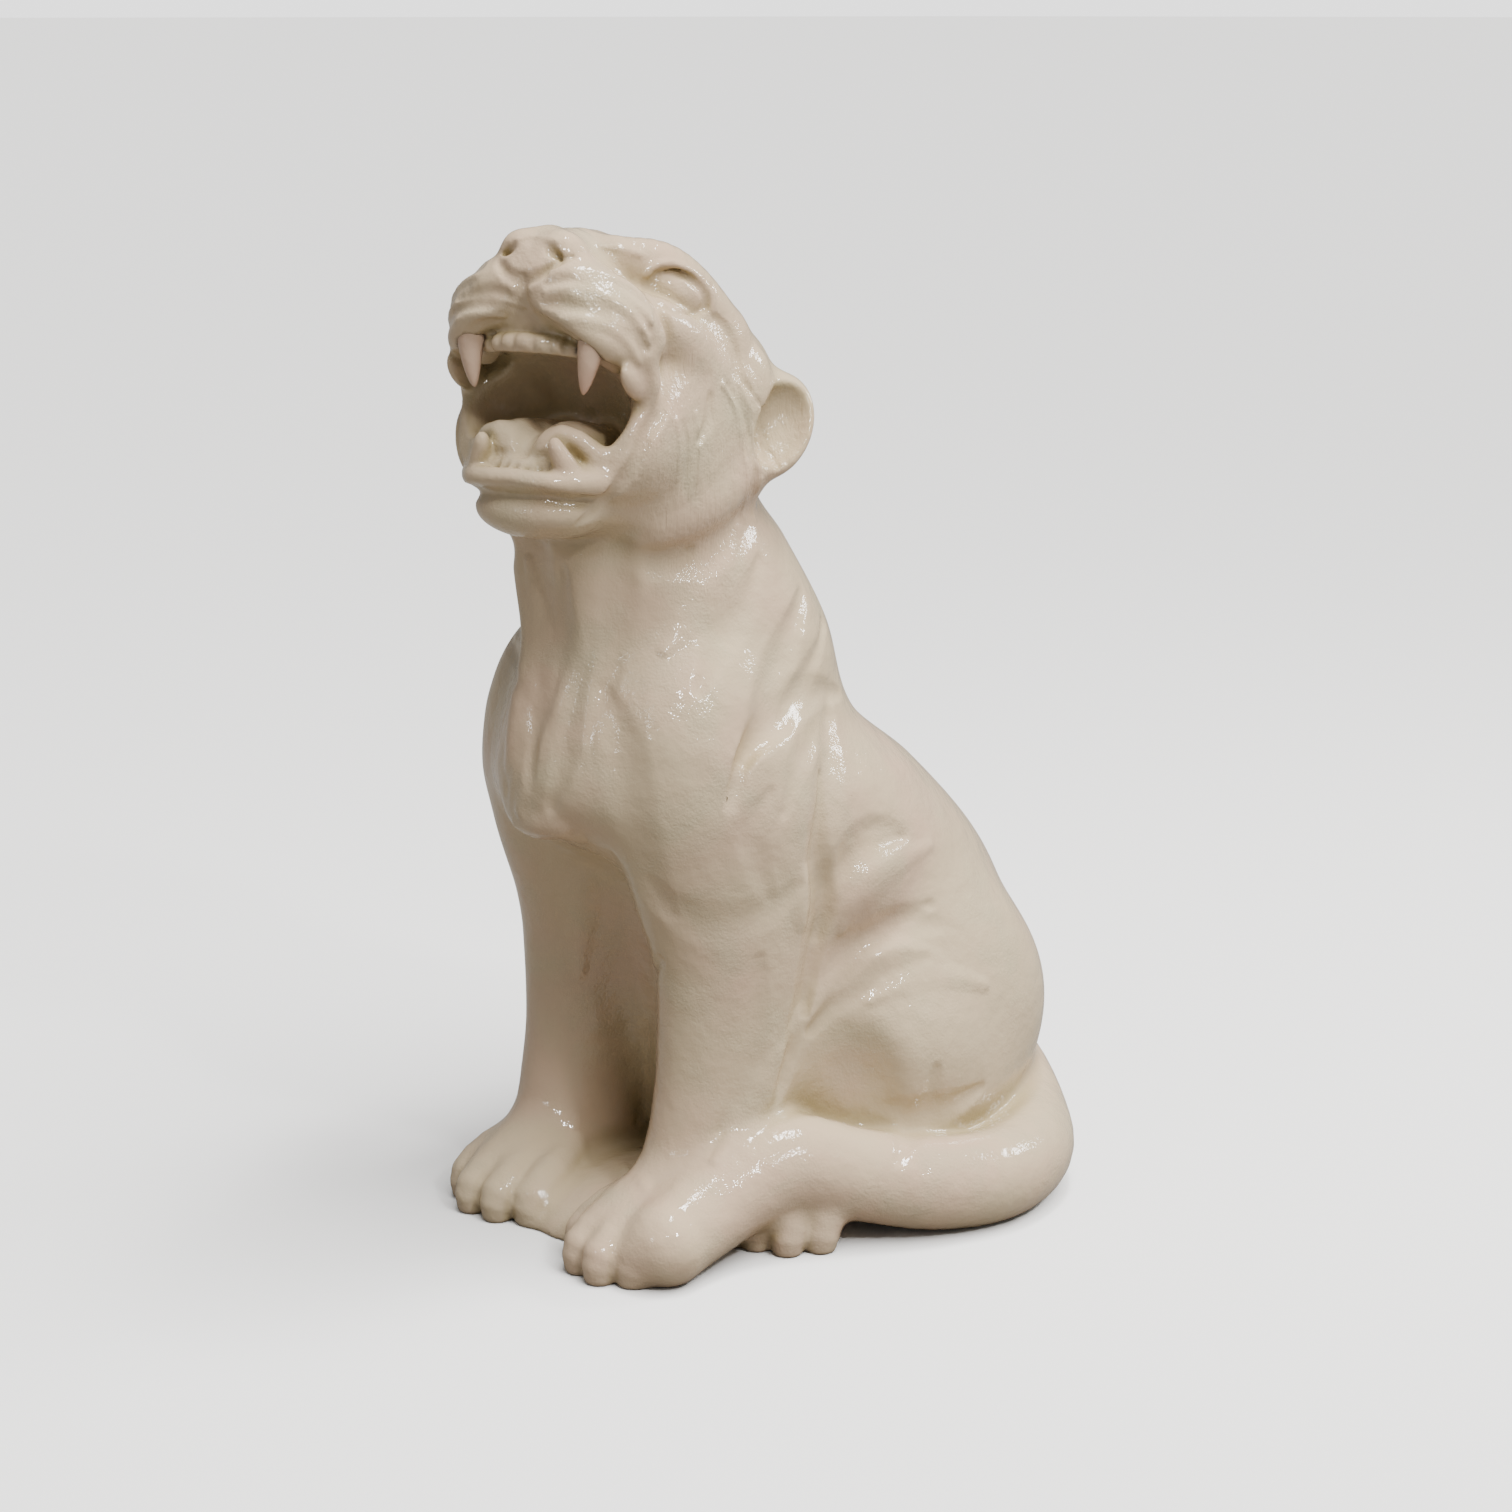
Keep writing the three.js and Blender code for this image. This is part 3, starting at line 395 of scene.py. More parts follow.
# Four paws, and the clay that closes the ground between the forelegs and under the belly.
def feet():
    paw([94, -98, 0], [0, 0, 2], ((-34, -82), (-12, -102), (15, -104), (38, -88)))
    paw([-86, -86, 0], [0, 0, 7], ((-32, -88), (-6, -106), (24, -105), (50, -91)))
    paw([100, 37, 0], [0, 0, 30], HIND_TOES)
    paw([-112, 44, 0], [0, 0, -18], HIND_TOES)
    lay(Egg([10, -80, 0], [80, 105, 42]), 20)
    lay(Egg([0, 66, 0], [128, 110, 30]), 16)


# The tail comes round the left side, climbs over the hind foot and ends by the left paw.
def tail():
    lay(Limb([
        [20, 280, 105, 40],
        [90, 277, 72, 38],
        [151, 248, 46, 38],
        [198, 201, 38, 40],
        [220, 138, 37, 40],
        [207, 75, 42, 40],
        [178, 15, 56, 39],
        [151, -34, 70, 42],
        [138, -76, 60, 42],
        [137, -114, 46, 39],
        [143, -152, 35, 36],
        [147, -166, 32, 35],
    ]), 14)


# Skull, muzzle, cheeks, brow and the stretched lip at each side of the open mouth.
def head():
    lay(Egg([0, 30, -6], [88, 106, 91]), 40, ONE, HEAD)
    lay(Egg([62, 56, 14], [44, 50, 50]), 30, BOTH, HEAD)
    lay(Limb([[0, 0, 48, 46], [0, -80, 25, 37], [0, -128, 3, 28]]), 30, ONE, HEAD)
    lay(Egg([0, -90, -20], [70, 66, 40]), 24, ONE, HEAD)
    lay(Limb([
        [16, -132, -22, 21],
        [42, -125, -28, 26],
        [64, -108, -31, 27],
        [78, -88, -36, 19],
    ]), 22, BOTH, HEAD)
    lay(Egg([66, -30, -8], [34, 60, 28]), 20, BOTH, HEAD)
    lay(Egg([60, 30, -62], [44, 82, 84]), 30, BOTH, HEAD)
    lay(Limb([
        [34, -96, 34, 16],
        [50, -64, 43, 24],
        [58, -30, 43, 28],
        [66, 14, 34, 31],
    ]), 16, BOTH, HEAD)
    lay(Egg([0, -26, -98], [91, 58, 66]), 16, ONE, HEAD)
    lay(Egg([77, -26, -80], [22, 38, 50]), 14, BOTH, HEAD)
    lay(Limb([
        [22, -140, -44, 9],
        [40, -136, -51, 10],
        [55, -128, -56, 11],
        [69, -112, -58, 12],
        [80, -90, -54, 11],
    ]), 8, BOTH, HEAD)
    lay(Limb([
        [82, -86, -50, 10],
        [86, -64, -66, 9],
        [84, -46, -84, 8],
        [79, -42, -104, 9],
        [70, -42, -122, 12],
    ]), 9, BOTH, HEAD)


# The edge of the ruff, standing off the neck from the ear to under the jaw.
def ruff():
    crease([
        [100, 44, 26, 20],
        [106, 74, -20, 26],
        [106, 72, -66, 28],
        [96, 52, -104, 26],
        [74, 30, -138, 20],
    ], -6, BOTH, HEAD)
    crease([[108, 82, -50, 18], [108, 90, -92, 26], [96, 70, -132, 26], [72, 44, -162, 20]], 5, BOTH, HEAD)


# The open mouth and the gum behind the upper lip.
def mouth():
    press(Egg([0, -84, -98], [76, 80, 49], [25, 0, 0]), 8, ONE, HEAD)
    press(Limb([
        [0, -142, -60, 16],
        [24, -139, -70, 16],
        [42, -134, -76, 15],
        [58, -125, -82, 14],
    ]), 3, BOTH, HEAD)
    press(Egg([0, -46, -104], [60, 60, 44], [25, 0, 0]), 12, ONE, HEAD)
    lay(Limb([
        [62, -88, -54, 12],
        [47, -102, -52, 11],
        [24, -112, -50, 11],
        [0, -115, -50, 11],
    ]), 6, BOTH, HEAD)


# Lower jaw: its rolled lip, the chin below, the floor of the mouth and the crease of the chin.
def jaw():
    lay(Limb([
        [70, 0, 6, 24],
        [68, -52, 4, 17],
        [59, -92, 2, 12],
        [42, -119, 3, 10],
        [22, -130, 4, 9],
        [0, -132, 5, 9],
    ]), 8, BOTH, JAW)
    lay(Egg([0, -92, -22], [54, 44, 25]), 10, ONE, JAW)
    lay(Egg([0, -20, -24], [66, 80, 24]), 20, ONE, JAW)
    crease([[62, -96, -14, 8], [44, -124, -10, 10], [22, -138, -6, 10], [0, -142, -4, 10]], 6, BOTH, JAW)


# The tongue lies broad and flat, grooved down its middle, between its two side ridges.
def tongue():
    lay(Limb([[18, 0, 8, 24], [20, -50, 16, 24], [22, -84, 24, 22], [20, -100, 27, 17]]), 12, BOTH, JAW)
    lay(Egg([0, -70, 14], [44, 46, 28]), 12, ONE, JAW)
    lay(Limb([[30, -104, 38, 8], [42, -100, 34, 8], [53, -90, 22, 9]]), 8, BOTH, JAW)
    crease([
        [0, -20, 40, 10],
        [0, -64, 46, 18],
        [0, -98, 46, 18],
        [0, -114, 34, 12],
        [0, -118, 24, 8],
    ], 9, ONE, JAW)


# The nose: wings with their nostrils, the edge of its leather and the cleft of the lip.
def nose():
    lay(Limb([[0, -140, 12, 16], [0, -147, -5, 13], [0, -145, -24, 9]]), 8, ONE, HEAD)
    lay(Egg([18, -143, 4], [18, 20, 17]), 10, BOTH, HEAD)
    lay(Egg([24, -136, -16], [14, 14, 12]), 10, BOTH, HEAD)
    press(Limb([[12, -170, -3, 2], [18, -163, -5, 3.4], [25, -154, -7, 2.5]]), 5, BOTH, HEAD)
    crease([[38, -143, -8, 4], [25, -152, -17, 9], [12, -157, -27, 8], [0, -156, -31, 8]], 3.5, BOTH, HEAD)
    crease([[0, -158, -28, 4], [0, -152, -40, 9], [0, -146, -50, 12]], 7, ONE, HEAD)


# Folds of the whisker pads, and the long fold from the eye round the muzzle to under the jaw.
def folds():
    crease([[49, -147, 8, 6], [60, -126, 8, 10], [74, -106, 2, 10], [91, -98, -6, 7]], 3, BOTH, HEAD)
    crease([
        [41, -163, -17, 6],
        [54, -148, -15, 10],
        [72, -132, -14, 11],
        [94, -114, -20, 7],
    ], 3, BOTH, HEAD)
    crease([
        [43, -163, -35, 6],
        [56, -148, -32, 10],
        [74, -134, -32, 11],
        [96, -113, -38, 7],
    ], 3, BOTH, HEAD)
    crease([
        [58, -94, 24, 3],
        [68, -92, 14, 8],
        [78, -91, 2, 10],
        [86, -88, -10, 10],
        [92, -76, -26, 11],
        [96, -62, -50, 11],
        [94, -54, -80, 10],
        [88, -54, -100, 9],
        [85, -48, -121, 9],
        [74, -42, -142, 9],
        [60, -36, -157, 9],
        [48, -38, -176, 4],
    ], 7, BOTH, HEAD)


# The small teeth of both jaws and the lower fangs, all one with the body.
def teeth():
    lay(Limb([[43, -110, -63, 6], [24, -120, -65, 7.5], [0, -123, -66, 8]]), 3, BOTH, HEAD)
    for x, y in [[9, -131], [23, -128], [35, -121]]:
        crease([[x, y, -58, 4], [x, y, -66, 4.5], [x, y + 5, -75, 4.5]], 3.5, BOTH, HEAD)
    lay(Limb([[36, -106, 3, 14], [0, -112, 3, 15]]), 6, BOTH, JAW)
    lay(Limb([[30, -112, 10, 9], [0, -119, 11, 9]]), 3, BOTH, JAW)
    for x, y in [[0, -129], [10, -128], [20, -125]]:
        crease([[x, y, 8, 4], [x, y + 2, 16, 4.5], [x, y + 6, 24, 4.5]], 3, BOTH, JAW)
    lay(Limb([
        [41, -110, 4, 12],
        [39, -116, 16, 10],
        [35, -121, 29, 7],
        [34, -122, 34, 5],
    ]), 4, BOTH, JAW)


# A round eye deep under its brow: a socket, the soft rim round it and the ball in it.
def eyes():
    press(Egg([65, -46, 38], [19, 34, 18], [10, 0, -22]), 3, BOTH, HEAD)
    lay(Egg([63, -44, 38], [19, 34, 18.5], [10, 0, -22]), 3, BOTH, HEAD)
    lay(Egg([55, -47, 32], [25, 34, 23], [10, 0, -22]), 2, BOTH, HEAD)


# Small round ears, hollowed, each on its root.
def ears():
    lay(Egg([103, 88, -5], [37, 26, 50], [0, 0, 20]), 14, BOTH, HEAD)
    lay(Egg([88, 84, -56], [24, 24, 24]), 16, BOTH, HEAD)
    press(Egg([124, 78, -9], [26, 20, 38], [0, 0, 20]), 8, BOTH, HEAD)


torso()
haunches()
forelegs()
chest()
shoulders()
feet()
head()
ruff()
mouth()
jaw()
tongue()
nose()
folds()
teeth()
eyes()
ears()
tail()


# Finer relief of the body: cords, muscles and folds of skin.
def fine_body():
    # the strained cord of the throat
    crease([
        [-18, -174, 576, 8],
        [-8, -171, 529, 15],
        [8, -179, 474, 19],
        [14, -189, 427, 17],
        [-1, -200, 373, 10],
    ], -3.4)
    crease([
        [25, -175, 574, 10],
        [29, -176, 519, 19],
        [38, -179, 471, 21],
        [45, -190, 420, 15],
        [33, -194, 382, 8],
    ], 3.8)
    crease([[-107, -130, 491, 8], [-11, -191, 473, 13], [-1, -199, 434, 13], [-21, -199, 388, 8]], 2.1)
    # the breastbone
    crease([[-13, -195, 360, 8], [13, -194, 362, 15], [29, -186, 361, 17], [33, -164, 350, 10]], -3.4)
    # the arm's muscles
    crease([
        [61, -160, 481, 10],
        [90, -164, 437, 25],
        [102, -162, 381, 25],
        [102, -146, 324, 23],
        [111, -134, 298, 10],
    ], 3.0)
    crease([[102, -146, 324, 10], [131, -117, 293, 25], [153, -72, 296, 21], [159, -34, 313, 10]], 2.5)
    crease([[158, -66, 399, 8], [158, -85, 371, 19], [157, -75, 333, 15], [156, -62, 307, 8]], 2.1)
    # folds over the blade
    crease([[118, -17, 521, 8], [136, -34, 482, 15], [146, -61, 442, 8]], 2.5)
    crease([[85, 57, 512, 8], [118, -3, 470, 17], [138, -51, 442, 17], [145, -84, 425, 8]], 3.0)
    crease([[98, 16, 509, 8], [109, -24, 468, 15], [125, -55, 449, 8]], -2.1)
    crease([[113, 35, 439, 17], [150, -27, 418, 17], [160, -51, 380, 8]], 2.5)
    # the skin behind the arm
    crease([
        [139, 2, 398, 8],
        [147, -10, 340, 17],
        [145, 3, 294, 15],
        [141, -6, 245, 15],
        [141, -14, 197, 8],
    ], 3.0)
    crease([[144, 10, 337, 8], [141, 18, 293, 15], [138, 7, 248, 8]], -2.5)
    crease([[151, -34, 337, 8], [145, -31, 299, 15], [147, -40, 251, 8]], -2.1)
    # ribs and flank
    crease([[145, 92, 330, 8], [154, 40, 324, 17], [152, 12, 301, 19], [143, 0, 263, 10]], 3.0)
    crease([[145, 128, 317, 8], [160, 67, 311, 19], [157, 33, 287, 17], [149, 23, 263, 8]], -2.1)
    crease([[158, 116, 269, 8], [153, 77, 260, 17], [149, 44, 241, 15], [152, 19, 216, 8]], 2.1)
    crease([[175, 100, 229, 8], [169, 63, 225, 19], [156, 30, 211, 19], [144, -6, 180, 10]], 3.0)
    crease([[173, 172, 245, 8], [191, 167, 224, 17], [191, 152, 198, 8]], 2.1)
    # the thigh
    crease([[162, 44, 200, 8], [170, 66, 211, 15], [179, 110, 213, 15], [183, 160, 194, 8]], -2.1)
    crease([[196, 90, 137, 8], [186, 84, 101, 17], [202, 52, 86, 15], [217, 29, 77, 8]], 3.0)
    crease([[201, 77, 155, 8], [212, 104, 135, 15], [202, 145, 118, 8]], 2.1)
    crease([[178, 66, 132, 8], [178, 75, 149, 15], [187, 88, 162, 8]], -1.7)
    # cords of the neck
    crease([[87, -40, 603, 8], [101, -75, 566, 17], [100, -102, 535, 17], [95, -124, 514, 8]], -2.5)
    crease([[96, -24, 576, 8], [109, -55, 540, 19], [117, -89, 513, 17], [127, -114, 485, 8]], 2.5)
    crease([[90, -94, 590, 8], [90, -116, 557, 19], [75, -140, 521, 17], [64, -155, 489, 8]], 2.1)
    # the forearm's tendons
    crease([[88, -124, 252, 8], [-2, -57, 162, 17], [-24, -45, 98, 17], [-43, -42, 54, 8]], 2.1)
    crease([[112, -109, 241, 8], [105, -100, 187, 17], [103, -111, 142, 8]], -2.1)
    crease([[151, -70, 256, 8], [145, -73, 195, 19], [138, -82, 143, 17], [132, -97, 110, 8]], 2.1)
    crease([[140, -16, 199, 8], [146, -48, 155, 19], [141, -74, 115, 17], [144, -111, 90, 8]], -2.5)
    # the far foreleg
    crease([[-51, -108, 171, 8], [-35, -103, 135, 17], [-37, -88, 106, 8]], 2.5)
    crease([[-82, -110, 210, 8], [-80, -101, 155, 17], [-70, -111, 111, 8]], -2.1)
    crease([[-94, -116, 121, 8], [-85, -109, 118, 15], [-74, -112, 118, 8]], -2.5)
    crease([[-60, -124, 100, 8], [-42, -119, 82, 13], [-31, -112, 59, 8]], 2.1)
    crease([[-86, -140, 86, 8], [-65, -145, 79, 11], [-50, -146, 68, 8]], 2.1)
    # wrinkles over the far paw
    crease([[-103, -172, 44, 6], [-93, -156, 54, 8], [-76, -143, 64, 6]], -3)
    crease([[-73, -186, 55, 6], [-64, -169, 64, 8], [-50, -146, 65, 6]], 2.5)
    crease([[-57, -181, 42, 6], [-52, -166, 47, 8], [-38, -145, 48, 6]], -3)
    crease([[-31, -185, 42, 6], [-36, -169, 53, 8], [-18, -152, 55, 6]], 2.5)
    crease([[-17, -180, 29, 6], [-20, -166, 37, 8], [-18, -149, 38, 6]], -3)
    # wrinkles over the near paw
    crease([[-8, -159, 27, 6], [-16, -132, 30, 8], [-8, -107, 34, 6]], -3)
    crease([[13, -166, 31, 6], [9, -138, 43, 8], [13, -113, 46, 6]], 2.5)
    crease([[82, -195, 42, 6], [83, -172, 53, 8], [94, -160, 62, 6]], -3)
    crease([[105, -202, 52, 6], [107, -183, 65, 8], [113, -169, 69, 6]], 2.5)
    crease([[-3, -93, 36, 6], [91, -149, 64, 8], [115, -158, 61, 6]], -3)


def face_line(rows, depth, sides=ONE):
    """A crease in the head's own frame."""
    crease(rows, depth, sides, HEAD)


# Finer relief of the head.
def fine_face():
    # the stretched lip behind each fang, closed where the long fold thins it
    lay(Egg([81, -82, -71], [7, 22, 12]), 5, BOTH, HEAD)
    # the edge of the nose leather
    face_line([[-40, -157, -5, 6], [-19, -166, -19, 6], [-8, -162, -30, 6], [1, -158, -33, 6]], 2)
    face_line([
        [3, -153, -31, 4],
        [12, -156, -28, 4],
        [21, -157, -20, 4],
        [27, -158, -13, 4],
        [36, -152, -4, 3],
    ], 2)
    face_line([[-14, -164, 1, 3], [-2, -161, 7, 4], [22, -163, 3, 3]], -1.8)
    face_line([[0, -157, -34, 6], [0, -153, -41, 6], [1, -146, -47, 6], [9, -141, -53, 6]], 2.5)
    # soft folds of the near whisker pad
    face_line([
        [24, -157, -22, 4],
        [41, -151, -17, 8],
        [56, -141, -12, 8],
        [70, -127, -10, 7],
        [82, -116, -15, 6],
        [94, -107, -31, 4],
    ], -2.2)
    face_line([
        [22, -157, -32, 4],
        [40, -155, -27, 7],
        [58, -146, -24, 7],
        [75, -134, -23, 7],
        [87, -122, -28, 6],
        [94, -105, -38, 4],
    ], 2.2)
    face_line([
        [23, -154, -39, 4],
        [41, -152, -34, 7],
        [59, -143, -30, 7],
        [75, -131, -31, 7],
        [87, -115, -36, 6],
        [92, -100, -45, 4],
    ], -2)
    face_line([
        [22, -150, -47, 4],
        [42, -148, -45, 7],
        [62, -141, -42, 7],
        [78, -130, -40, 7],
        [89, -112, -44, 6],
        [92, -97, -50, 4],
    ], 2.4)
    face_line([
        [39, -145, -56, 4],
        [57, -140, -53, 7],
        [71, -130, -51, 7],
        [84, -113, -54, 6],
        [88, -96, -61, 4],
    ], -2)
    # and of the far one
    face_line([
        [-67, -138, -39, 4],
        [-49, -148, -40, 6],
        [-30, -153, -40, 7],
        [-14, -152, -41, 6],
        [-4, -144, -42, 4],
    ], 2.2)
    face_line([[-68, -132, -24, 6], [-50, -144, -26, 6], [-33, -149, -29, 7], [-16, -152, -31, 6]], -2)
    face_line([
        [-74, -130, -46, 4],
        [-52, -144, -49, 6],
        [-32, -149, -49, 7],
        [-15, -147, -49, 6],
        [-3, -136, -46, 4],
    ], 2.2)
    face_line([[-61, -137, -58, 4], [-37, -145, -56, 6], [-20, -137, -52, 4]], -1.8)
    # the brow and its furrow
    face_line([[57, -94, 21, 6], [63, -94, 31, 6], [65, -93, 45, 6], [55, -92, 59, 6]], 3)
    face_line([
        [58, -85, 25, 4],
        [63, -86, 33, 5],
        [70, -78, 42, 5],
        [76, -64, 47, 5],
        [81, -48, 49, 5],
        [86, -33, 45, 5],
        [88, -24, 34, 4],
    ], -2.4, BOTH)
    face_line([[30, -119, 28, 4], [43, -111, 33, 7], [54, -98, 36, 5]], -2)
    face_line([
        [60, -79, 22, 4],
        [64, -80, 30, 5],
        [71, -75, 36, 5],
        [75, -61, 42, 5],
        [81, -50, 41, 5],
        [85, -39, 38, 5],
        [85, -31, 31, 4],
    ], 4, BOTH)
    # the lower lid
    face_line([
        [60, -79, 21, 4],
        [72, -84, 6, 4],
        [82, -82, -1, 4],
        [89, -71, 1, 4],
        [82, -42, 18, 4],
        [85, -32, 29, 4],
    ], 2.2)
    face_line([[68, -82, 0, 6], [78, -79, -8, 6], [86, -69, -6, 6], [84, -41, 9, 6]], -2)
    # cheekbone and the folds below the eye
    face_line([[89, -57, -2, 6], [89, -31, 2, 9], [92, -11, -1, 9], [98, 3, -8, 6]], -3)
    face_line([[90, -19, 30, 5], [95, -4, 27, 8], [100, 10, 17, 8], [105, 19, 2, 8], [110, 36, -4, 5]], 3)
    face_line([[92, -77, -19, 6], [90, -61, -36, 6], [93, -57, -54, 6], [98, -52, -74, 6]], 2.4)
    face_line([[103, -8, -35, 5], [105, -1, -54, 8], [103, -2, -73, 5]], 2.4)
    face_line([[99, 7, -9, 6], [101, 24, -21, 9], [103, 40, -38, 9], [109, 62, -63, 6]], -2.6)
    # strands of the ruff
    face_line([
        [105, -1, -20, 4],
        [109, 20, -27, 4],
        [111, 43, -42, 4],
        [115, 67, -68, 4],
        [104, 100, -88, 4],
    ], -1.8)
    face_line([
        [106, 7, -15, 4],
        [110, 28, -22, 4],
        [111, 54, -35, 4],
        [115, 77, -62, 4],
        [107, 107, -88, 4],
    ], 1.8)
    face_line([
        [106, 17, -7, 4],
        [111, 37, -16, 4],
        [102, 81, -23, 4],
        [116, 84, -58, 4],
        [106, 112, -80, 4],
    ], -1.8)
    face_line([[107, 26, 0, 4], [112, 45, -6, 4], [102, 85, -11, 4], [114, 87, -38, 4]], 1.8)
    face_line([[101, 34, 11, 6], [107, 46, 7, 6], [98, 85, 8, 6], [103, 95, -9, 6]], -1.6)
    face_line([[110, -3, -36, 6], [114, 17, -51, 6], [116, 43, -73, 6], [111, 74, -106, 6]], 1.8)
    face_line([[99, 3, -61, 6], [102, 22, -72, 6], [103, 42, -93, 6], [101, 53, -112, 6]], -1.6)
    # strokes down the cheek
    face_line([[103, -48, -81, 6], [105, -29, -99, 6], [100, -11, -119, 6], [95, 11, -128, 6]], 1.5)
    face_line([[101, -27, -74, 4], [101, -7, -90, 4], [97, 12, -112, 4]], 1.5)
    face_line([[102, -17, -58, 4], [104, 1, -76, 4], [102, 17, -99, 4]], -1.5)
    face_line([[99, -37, -76, 4], [101, -20, -93, 4], [96, -2, -110, 4]], -1.5)
    # the inner folds of the ear
    face_line([[109, 84, 0, 6], [115, 89, -7, 6], [123, 92, -11, 6], [132, 93, -14, 6]], 2.5)
    face_line([[101, 92, -11, 6], [111, 100, -16, 6], [124, 102, -24, 6], [127, 99, -30, 6]], -2.5)
    face_line([[106, 87, -25, 4], [114, 91, -31, 5], [124, 90, -42, 4]], 2)
    # the corner of the jaw
    face_line([[89, -55, -106, 6], [85, -49, -125, 6], [74, -44, -144, 6], [59, -38, -156, 6]], 2.5)
    face_line([[78, -57, -101, 6], [75, -52, -117, 6], [64, -49, -136, 6], [57, -56, -149, 6]], -2)


fine_body()
fine_face()


# The skin of the clay on a grid of cubes: a wide grid first, then a fine one only near the skin.
def sampled():
    count = np.ceil((HIGH - LOW) / (CELL * FINER)).astype(int) + 1
    wide = np.argwhere(np.ones(count, bool))
    values = clay_near(LOW + wide * CELL * FINER, WIDE_BLOCK).reshape(count)
    for axis in range(3):
        values = stretched(values, axis)
    near = np.argwhere(np.abs(values) < BAND)
    values[tuple(near.T)] = clay_near(LOW + near * CELL)
    ground = -(LOW[2] + np.arange(values.shape[2], dtype=np.float32) * CELL)
    return np.maximum(values, ground)


def stretched(values, axis):
    """Grid values with FINER steps, in straight lines, in place of each step along the axis."""
    start = np.take(values, range(values.shape[axis] - 1), axis)
    rise = np.diff(values, axis=axis) / FINER
    steps = [start + rise * step for step in range(FINER)]
    size = [count * FINER if i == axis else count for i, count in enumerate(start.shape)]
    fine = np.stack(steps, axis + 1).reshape(size)
    return np.concatenate([fine, np.take(values, [-1], axis)], axis)


# One point in every cell the skin passes through, and a square round every crossed edge.
def skin():
    values = sampled()
    inside = values < 0
    offsets = np.argwhere(np.ones([2, 2, 2], bool))
    wide, deep, high = np.array(values.shape) - 1
    filled = np.zeros((wide, deep, high), np.uint8)
    for a, b, c in offsets:
        filled += inside[a : wide + a, b : deep + b, c : high + c]
    crossed = np.argwhere((filled > 0) & (filled < len(offsets)))
    number = np.full(filled.shape, -1, np.int32)
    number[tuple(crossed.T)] = np.arange(len(crossed))
    return cell_points(values, crossed, offsets), squares(inside, number)


def cell_points(values, crossed, offsets):
    at_corner = [values[tuple((crossed + offset).T)] for offset in offsets]
    total = np.zeros((len(crossed), 3), np.float32)
    crossings = np.zeros(len(crossed), np.float32)
    for a, low in enumerate(offsets):
        for b, high in enumerate(offsets):
            if b < a or np.abs(high - low).sum() != 1:
                continue
            cut = (at_corner[a] < 0) != (at_corner[b] < 0)
            share = np.where(cut, at_corner[a] / np.where(cut, at_corner[a] - at_corner[b], 1), 0)
            total += cut[:, None] * (low + share[:, None] * (high - low))
            crossings += cut
    return LOW + (crossed + total / crossings[:, None]) * CELL


def squares(inside, number):
    faces = []
    for axis in range(3):
        before = np.take(inside, range(inside.shape[axis] - 1), axis)
        after = np.take(inside, range(1, inside.shape[axis]), axis)
        side, up = np.eye(3, dtype=int)[[(axis + 1) % 3, (axis + 2) % 3]]
        for leaving in (True, False):
            edges = np.argwhere(before & ~after if leaving else ~before & after)
            around = [number[tuple((edges - back).T)] for back in (side + up, up, 0 * up, side)]
            faces.append(np.stack(around if leaving else around[::-1], 1))
    return np.vstack(faces)


def mesh_from(name, points, faces):
    """A mesh made straight from arrays of points and of four-cornered faces."""
    mesh = bpy.data.meshes.new(name)
    mesh.vertices.add(len(points))
    mesh.vertices.foreach_set("co", points.astype(np.float32).ravel())
    mesh.loops.add(faces.size)
    mesh.loops.foreach_set("vertex_index", faces.astype(np.int32).ravel())
    mesh.polygons.add(len(faces))
    mesh.polygons.foreach_set("loop_start", np.arange(0, faces.size, faces.shape[1], dtype=np.int32))
    mesh.update(calc_edges=True)
    mesh.validate()
    return mesh


def thinned(mesh, wanted):
    """The mesh with its triangles brought down to about the number wanted, most where it curves."""
    rough = bpy.data.objects.new("rough_" + mesh.name, mesh)
    bpy.context.scene.collection.objects.link(rough)
    thin = rough.modifiers.new("thin", "DECIMATE")
    thin.ratio = min(1.0, wanted / (2 * len(mesh.polygons)))
    finished = rough.evaluated_get(bpy.context.evaluated_depsgraph_get())
    result = bpy.data.meshes.new_from_object(finished)
    bpy.data.objects.remove(rough)
    return result


def placed(points, scale):
    """Clay millimetres to metres in the frame."""
    return (points - np.array(MIDDLE)) * scale * MM


def of_points(mesh, name):
    """A vector for each point of a mesh, such as its place or its normal."""
    values = np.empty(len(mesh.vertices) * 3, np.float32)
    mesh.vertices.foreach_get(name, values)
    return values.reshape(-1, 3)


# The figure, as tall as the CAD body.
points, faces = skin()
scale = float(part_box("panther_body")[1][2] / (points[:, 2].max() * MM))
mesh = thinned(mesh_from("panther_figure", points, faces), TRIANGLES)
clay_points = of_points(mesh, "co")
normals = of_points(mesh, "normal")

# How open each point lies: at each step outwards, clay nearer than the step closes it in.
STEPS_OUT = (6, 16, 34)
CLOSED, OPENING, LEAST_OPEN = 0.35, 0.65, 0.2
openness = np.ones(len(clay_points), np.float32)
for step in STEPS_OUT:
    ahead = clay_near(clay_points + normals * step, WIDE_BLOCK)
    openness *= np.clip(CLOSED + OPENING * ahead / step, LEAST_OPEN, 1)


def painted(name, values):
    """A number for each point of the figure, for its glaze to read."""
    mesh.attributes.new(name, "FLOAT", "POINT").data.foreach_set("value", values.astype(np.float32))


def faded(values, start, end):
    """Nought at the start, one at the end, eased between them."""
    t = np.clip((values - start) / (end - start), 0, 1)
    return t * t * (3 - 2 * t)


# how closed in each point is; the glaze is darkened by it, partly as gathered glaze and partly as painted
# shade
painted("hollow", 1 - openness)

# Fur is scratched into the cheeks and the ruff behind them, in the head's own frame: it fades in
# from the face outwards and from the muzzle back, and out again at the nape, the throat and the brow.
face_points = HEAD.inside(clay_points)
wide, along, up = np.abs(face_points[:, 0]), face_points[:, 1], face_points[:, 2]
cheek = faded(wide, 62, 84) * faded(along, -66, -40) * faded(along, 130, 80)
painted("fur", cheek * faded(up, -190, -150) * faded(up, 34, 6))

